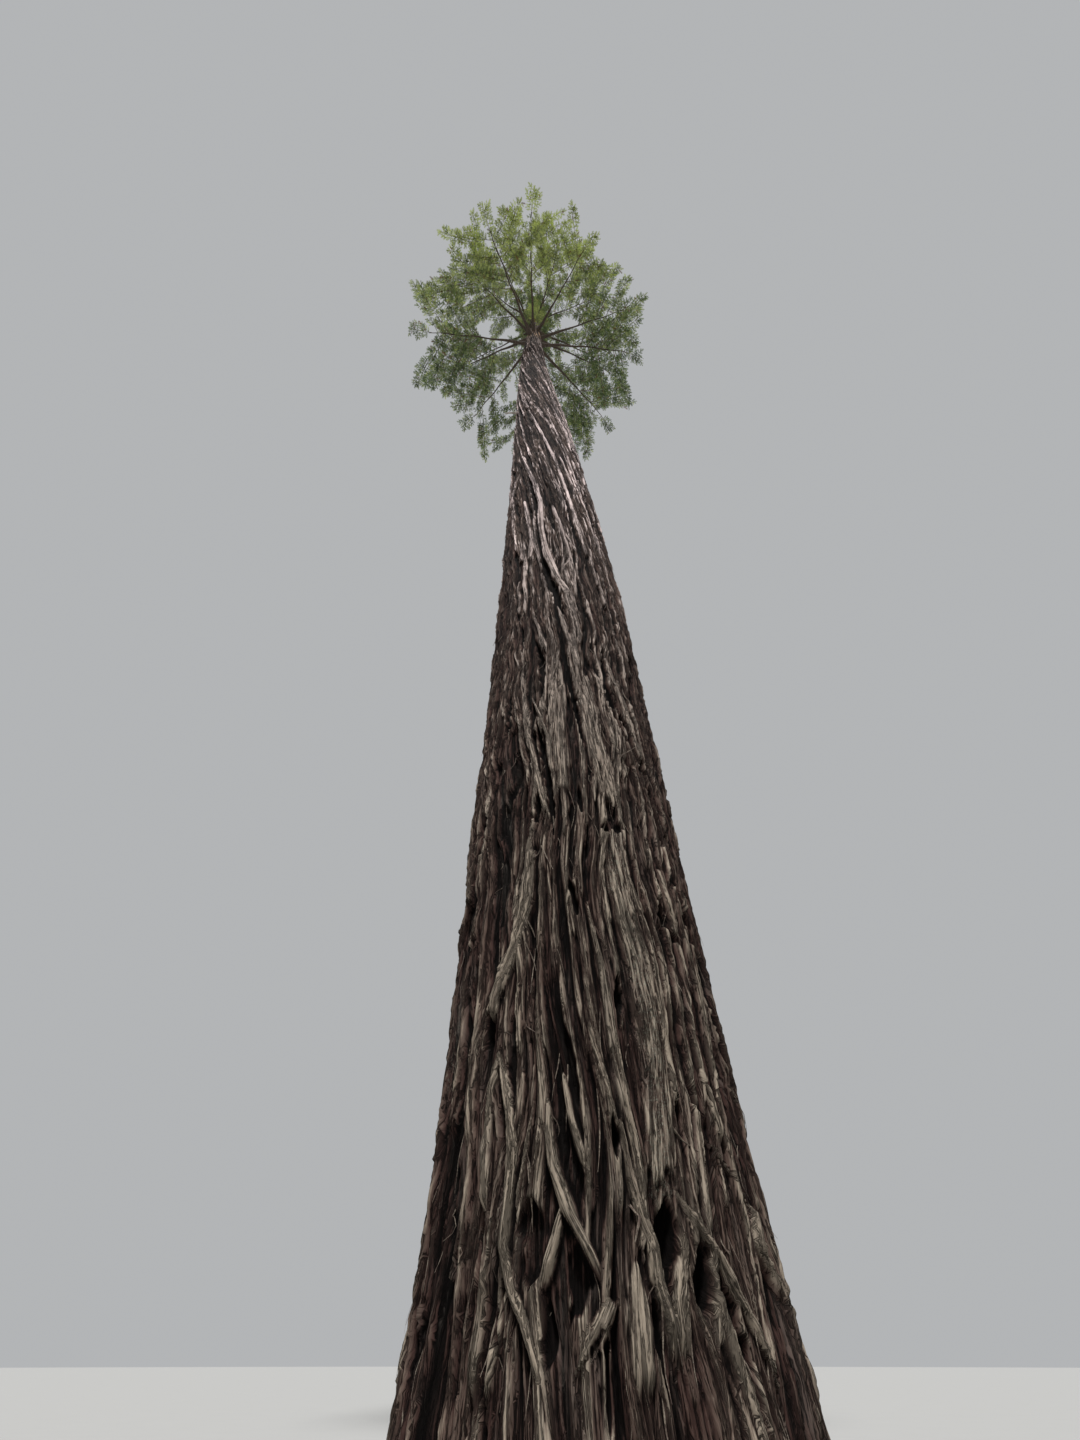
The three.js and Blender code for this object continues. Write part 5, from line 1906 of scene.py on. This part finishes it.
class REDWOOD_OT_limbs(bpy.types.Operator):
    """Make the boughs with their bark, the twigs and the sprays of needles"""

    bl_idname = "redwood.limbs"
    bl_label = "Crown"

    # Steps of a bough's line, a shoot's and the tip's
    BOUGH_STEPS = 25
    SHOOT_STEPS = 13
    TIP_STEPS = 5
    # Radii in metres: a limb's end, the tip's, and twigs from the foot to the end of a stem
    END_RADIUS = 0.009
    TIP_RADIUS = 0.008
    TWIG_RADII = (0.0125, 0.009)
    TWIG_COLOUR = (0.11, 0.08, 0.055)
    TWIG_CREST_COLOUR = (0.2, 0.15, 0.1)
    # Twiglets straight on a stem of the lowest whorl, on another stem and on an upper limb
    LOW_TWIGLETS = 6
    HIGH_TWIGLETS = 14
    LIMB_TWIGLETS = 8
    # Small waves of a limb, in metres, and the collar where it leaves the trunk
    WOBBLE = 0.012
    WOBBLE_RATES = (7, 6, 8)
    COLLAR = 0.55
    # Most sprays in one piece, share of dead ones, radians of roll, and where each colour ends, from painted
    # shade to painted light
    MOST_IN_PIECE = 10500
    BROWN_SHARE = 0.03
    ROLL = 0.55
    COLOUR_LIMITS = (("shade", 0.20), ("green", 0.54), ("olive", 0.82), ("bright", 1.0))

    def execute(self, context):
        scene = context.scene
        bole, crown, foliage = bole_of(context), scene.redwood_crown, scene.redwood_foliage
        boughs, shoots, masses, space = crown_plan(bole, crown)
        sweep = sweep_tree()
        limb = limb_material("limb_bark", crown.limb_colour, crown.limb_crest_colour)

        lines = [self.limb_line(bole, bough, bough.radius, self.BOUGH_STEPS) for bough in boughs]
        for shoot in shoots:
            lines.append(self.limb_line(bole, shoot, SHOOT_SLIMMER * shoot.radius, self.SHOOT_STEPS))
        tip, shares = masses[-1], [i / self.TIP_STEPS for i in range(self.TIP_STEPS + 1)]
        sizes = [lerp(tip.radius, self.TIP_RADIUS, t) for t in shares]
        lines.append(([tip.path.at(t) for t in shares], sizes))
        piece = limbs_along("bough_bark", lines, sweep, limb, sides=12, relief=0.22, grain=18.0)
        settle(piece, BOUGH_NODES)

        growth = Growth(foliage, crown, bole)
        for own, mass in enumerate(masses):
            for foot, blade, share in twigs_of(mass, own, space):
                middle = blade.root + blade.along * (0.5 * blade.reach)
                growth.fan(foot, blade, lerp(*self.TWIG_RADII, share), light_at(middle, crown))
            light = light_at(mass.path.at(0.7), crown) - 0.15
            number = self.LOW_TWIGLETS if own < len(LOW_WHORL) else self.HIGH_TWIGLETS
            growth.bare(mass.path, mass.first_twig, 0.98, number, light)
        for bough in boughs[len(LOW_WHORL):]:
            outer = bough.part(0.5 * BOUGH_SHARE, BOUGH_SHARE)
            light = light_at(outer.at(0.5), crown) - 0.2
            growth.bare(outer, 0.0, 1.0, self.LIMB_TWIGLETS, light)
        growth.shoots(foliage.trunk_shoots)
        twig = limb_material("twig_bark", self.TWIG_COLOUR, self.TWIG_CREST_COLOUR)
        piece = limbs_along("twigs", growth.twigs, sweep, twig, sides=3)
        settle(piece, FOLIAGE_NODES)
        self.needles(growth, foliage)
        return {"FINISHED"}

    def limb_line(self, bole, bough, radius, steps):
        """One limb from inside the trunk to the end of its stem, with a collar at the trunk."""
        rng = np.random.default_rng(bough.index + 400)
        points, sizes = [], []
        surface = float(bole.radius(bough.height))
        first, second = rng.uniform(0, TURN, 2)
        phases = (first, second, first + 1)
        for i in range(steps + 1):
            share = lerp(0.55 * surface / bough.reach, bough.last, i / steps)
            out = share * bough.reach
            fade = min(1.0, max(0.0, out - surface - 0.1) / 0.5)
            waves = [math.sin(rate * out + phase) for rate, phase in zip(self.WOBBLE_RATES, phases)]
            points.append(bough.place(share) + self.WOBBLE * fade * np.array(waves))
            if share < BOUGH_SHARE:
                size = lerp(radius, LIMB_END * radius, share / BOUGH_SHARE)
            else:
                beyond = (share - BOUGH_SHARE) / max(bough.last - BOUGH_SHARE, 0.01)
                size = lerp(LIMB_END * radius, self.END_RADIUS, beyond)
            collar = 1 + self.COLLAR * math.exp(-max(0.0, out - surface) / 0.07)
            sizes.append(size * collar)
        return points, sizes

    def needles(self, growth, foliage):
        """Deals the sprays out by their light among pieces of one colour each, which paint the crown's light
        and shade.
        """
        sprays = growth.sprays
        rng = np.random.default_rng(foliage.seed + 9)
        if len(sprays) > foliage.sprays:
            kept = np.sort(rng.permutation(len(sprays))[:foliage.sprays])
            sprays = [sprays[i] for i in kept]
        order = np.argsort([spray.light for spray in sprays], kind="stable")
        brown = set(rng.permutation(len(sprays))[:int(self.BROWN_SHARE * len(sprays))].tolist())
        groups = {"shade": [], "green": [], "olive": [], "bright": [], "brown": []}
        for rank, index in enumerate(order.tolist()):
            share = (rank + 0.5) / len(order)
            name = next(label for label, limit in self.COLOUR_LIMITS if share <= limit)
            groups["brown" if index in brown else name].append(sprays[index])
        tree, shapes = spray_tree(), spray_shapes(foliage)
        for seed, (label, chosen) in enumerate(groups.items(), 1):
            material = needle_material("needles_" + label, tuple(getattr(foliage, label + "_colour")))
            pieces = math.ceil(len(chosen) / self.MOST_IN_PIECE)
            for part in range(pieces):
                own = chosen[part::pieces]
                name = f"needles_{label}" + (f"_{part + 1}" if pieces > 1 else "")
                piece = grown(name, points_mesh(name + "_points", own), tree, {
                    "Sprays": shapes, "Spray length": foliage.spray_length, "Roll": self.ROLL,
                    "Seed": 10 * seed + part, "Needles": material,
                })
                settle(piece, FOLIAGE_NODES)
        for shape in list(shapes.objects):
            bpy.data.objects.remove(shape)
        bpy.data.collections.remove(shapes)


class REDWOOD_OT_stub(bpy.types.Operator):
    """Make the snapped dead branch on the clean bole"""

    bl_idname = "redwood.stub"
    bl_label = "Dead stub"

    STEPS = 11
    RADII = (0.026, 0.009)
    # Splinters at the snapped end: the share where each starts, and how far it stands aside
    SPLINTERS = ((0.9, 0.004), (0.93, -0.004), (0.95, 0.0))
    SPLINTER_RADII = (0.006, 0.004, 0.0012)

    def execute(self, context):
        crown = context.scene.redwood_crown
        low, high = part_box("dead_stub")
        middle = [(low[i] + high[i]) / 2 for i in range(3)]
        start = Vector((high[0] + 0.06, middle[1] + 0.003, middle[2] + 0.012))
        end = Vector((low[0] + 0.006, middle[1] - 0.003, middle[2] - 0.012))
        points, sizes = [], []
        for i in range(self.STEPS + 1):
            t = i / self.STEPS
            waves = Vector((0, 0.004 * math.sin(9 * t), 0.005 * math.sin(7 * t + 1)))
            points.append(start.lerp(end, t) + waves)
            collar = 1 + 0.5 * math.exp(-t / 0.12)
            sizes.append(lerp(*self.RADII, t ** 0.8) * collar)
        lines = [(points, sizes)]
        for k, (t, side) in enumerate(self.SPLINTERS):
            foot = start.lerp(end, t)
            middle = foot.lerp(end, 0.6) + Vector((0, side, 0.002))
            lines.append(([foot, middle, end + Vector((0.004 * k, side, 0.003 * k))], self.SPLINTER_RADII))
        pale = tuple(min(1, 1.5 * c) for c in crown.dead_colour)
        dead = limb_material("dead_wood", tuple(crown.dead_colour), pale)
        piece = limbs_along("dead_branch", lines, sweep_tree(), dead, sides=14, relief=0.28, grain=60.0)
        settle(piece, ["dead_stub"])
        return {"FINISHED"}


class REDWOOD_PT_panel(bpy.types.Panel):
    """Sizes, colours and steps of the redwood"""

    bl_idname = "REDWOOD_PT_panel"
    bl_label = "Redwood"
    bl_space_type = "VIEW_3D"
    bl_region_type = "UI"
    bl_category = "Redwood"

    def draw(self, context):
        for operator in OPERATORS:
            self.layout.operator(operator.bl_idname)
        for name in SETTINGS:
            group = getattr(context.scene, name)
            box = self.layout.box()
            box.label(text=type(group).__doc__)
            for key in group.bl_rna.properties.keys():
                if key not in ("rna_type", "name"):
                    box.prop(group, key)


OPERATORS = (REDWOOD_OT_stage, REDWOOD_OT_trunk, REDWOOD_OT_shreds, REDWOOD_OT_limbs, REDWOOD_OT_stub)
SETTINGS = {
    "redwood_trunk": RedwoodTrunkSettings,
    "redwood_bark": RedwoodBarkSettings,
    "redwood_crown": RedwoodCrownSettings,
    "redwood_foliage": RedwoodFoliageSettings,
    "redwood_stage": RedwoodStageSettings,
}
CLASSES = (*SETTINGS.values(), *OPERATORS, REDWOOD_PT_panel)


def register():
    for made in CLASSES:
        bpy.utils.register_class(made)
    for name, group in SETTINGS.items():
        setattr(bpy.types.Scene, name, bpy.props.PointerProperty(type=group))


def unregister():
    for name in SETTINGS:
        delattr(bpy.types.Scene, name)
    for made in reversed(CLASSES):
        bpy.utils.unregister_class(made)


def main():
    register()
    bpy.ops.redwood.stage()
    bpy.ops.redwood.trunk()
    bpy.ops.redwood.shreds()
    bpy.ops.redwood.limbs()
    bpy.ops.redwood.stub()


if __name__ == "__main__":
    main()
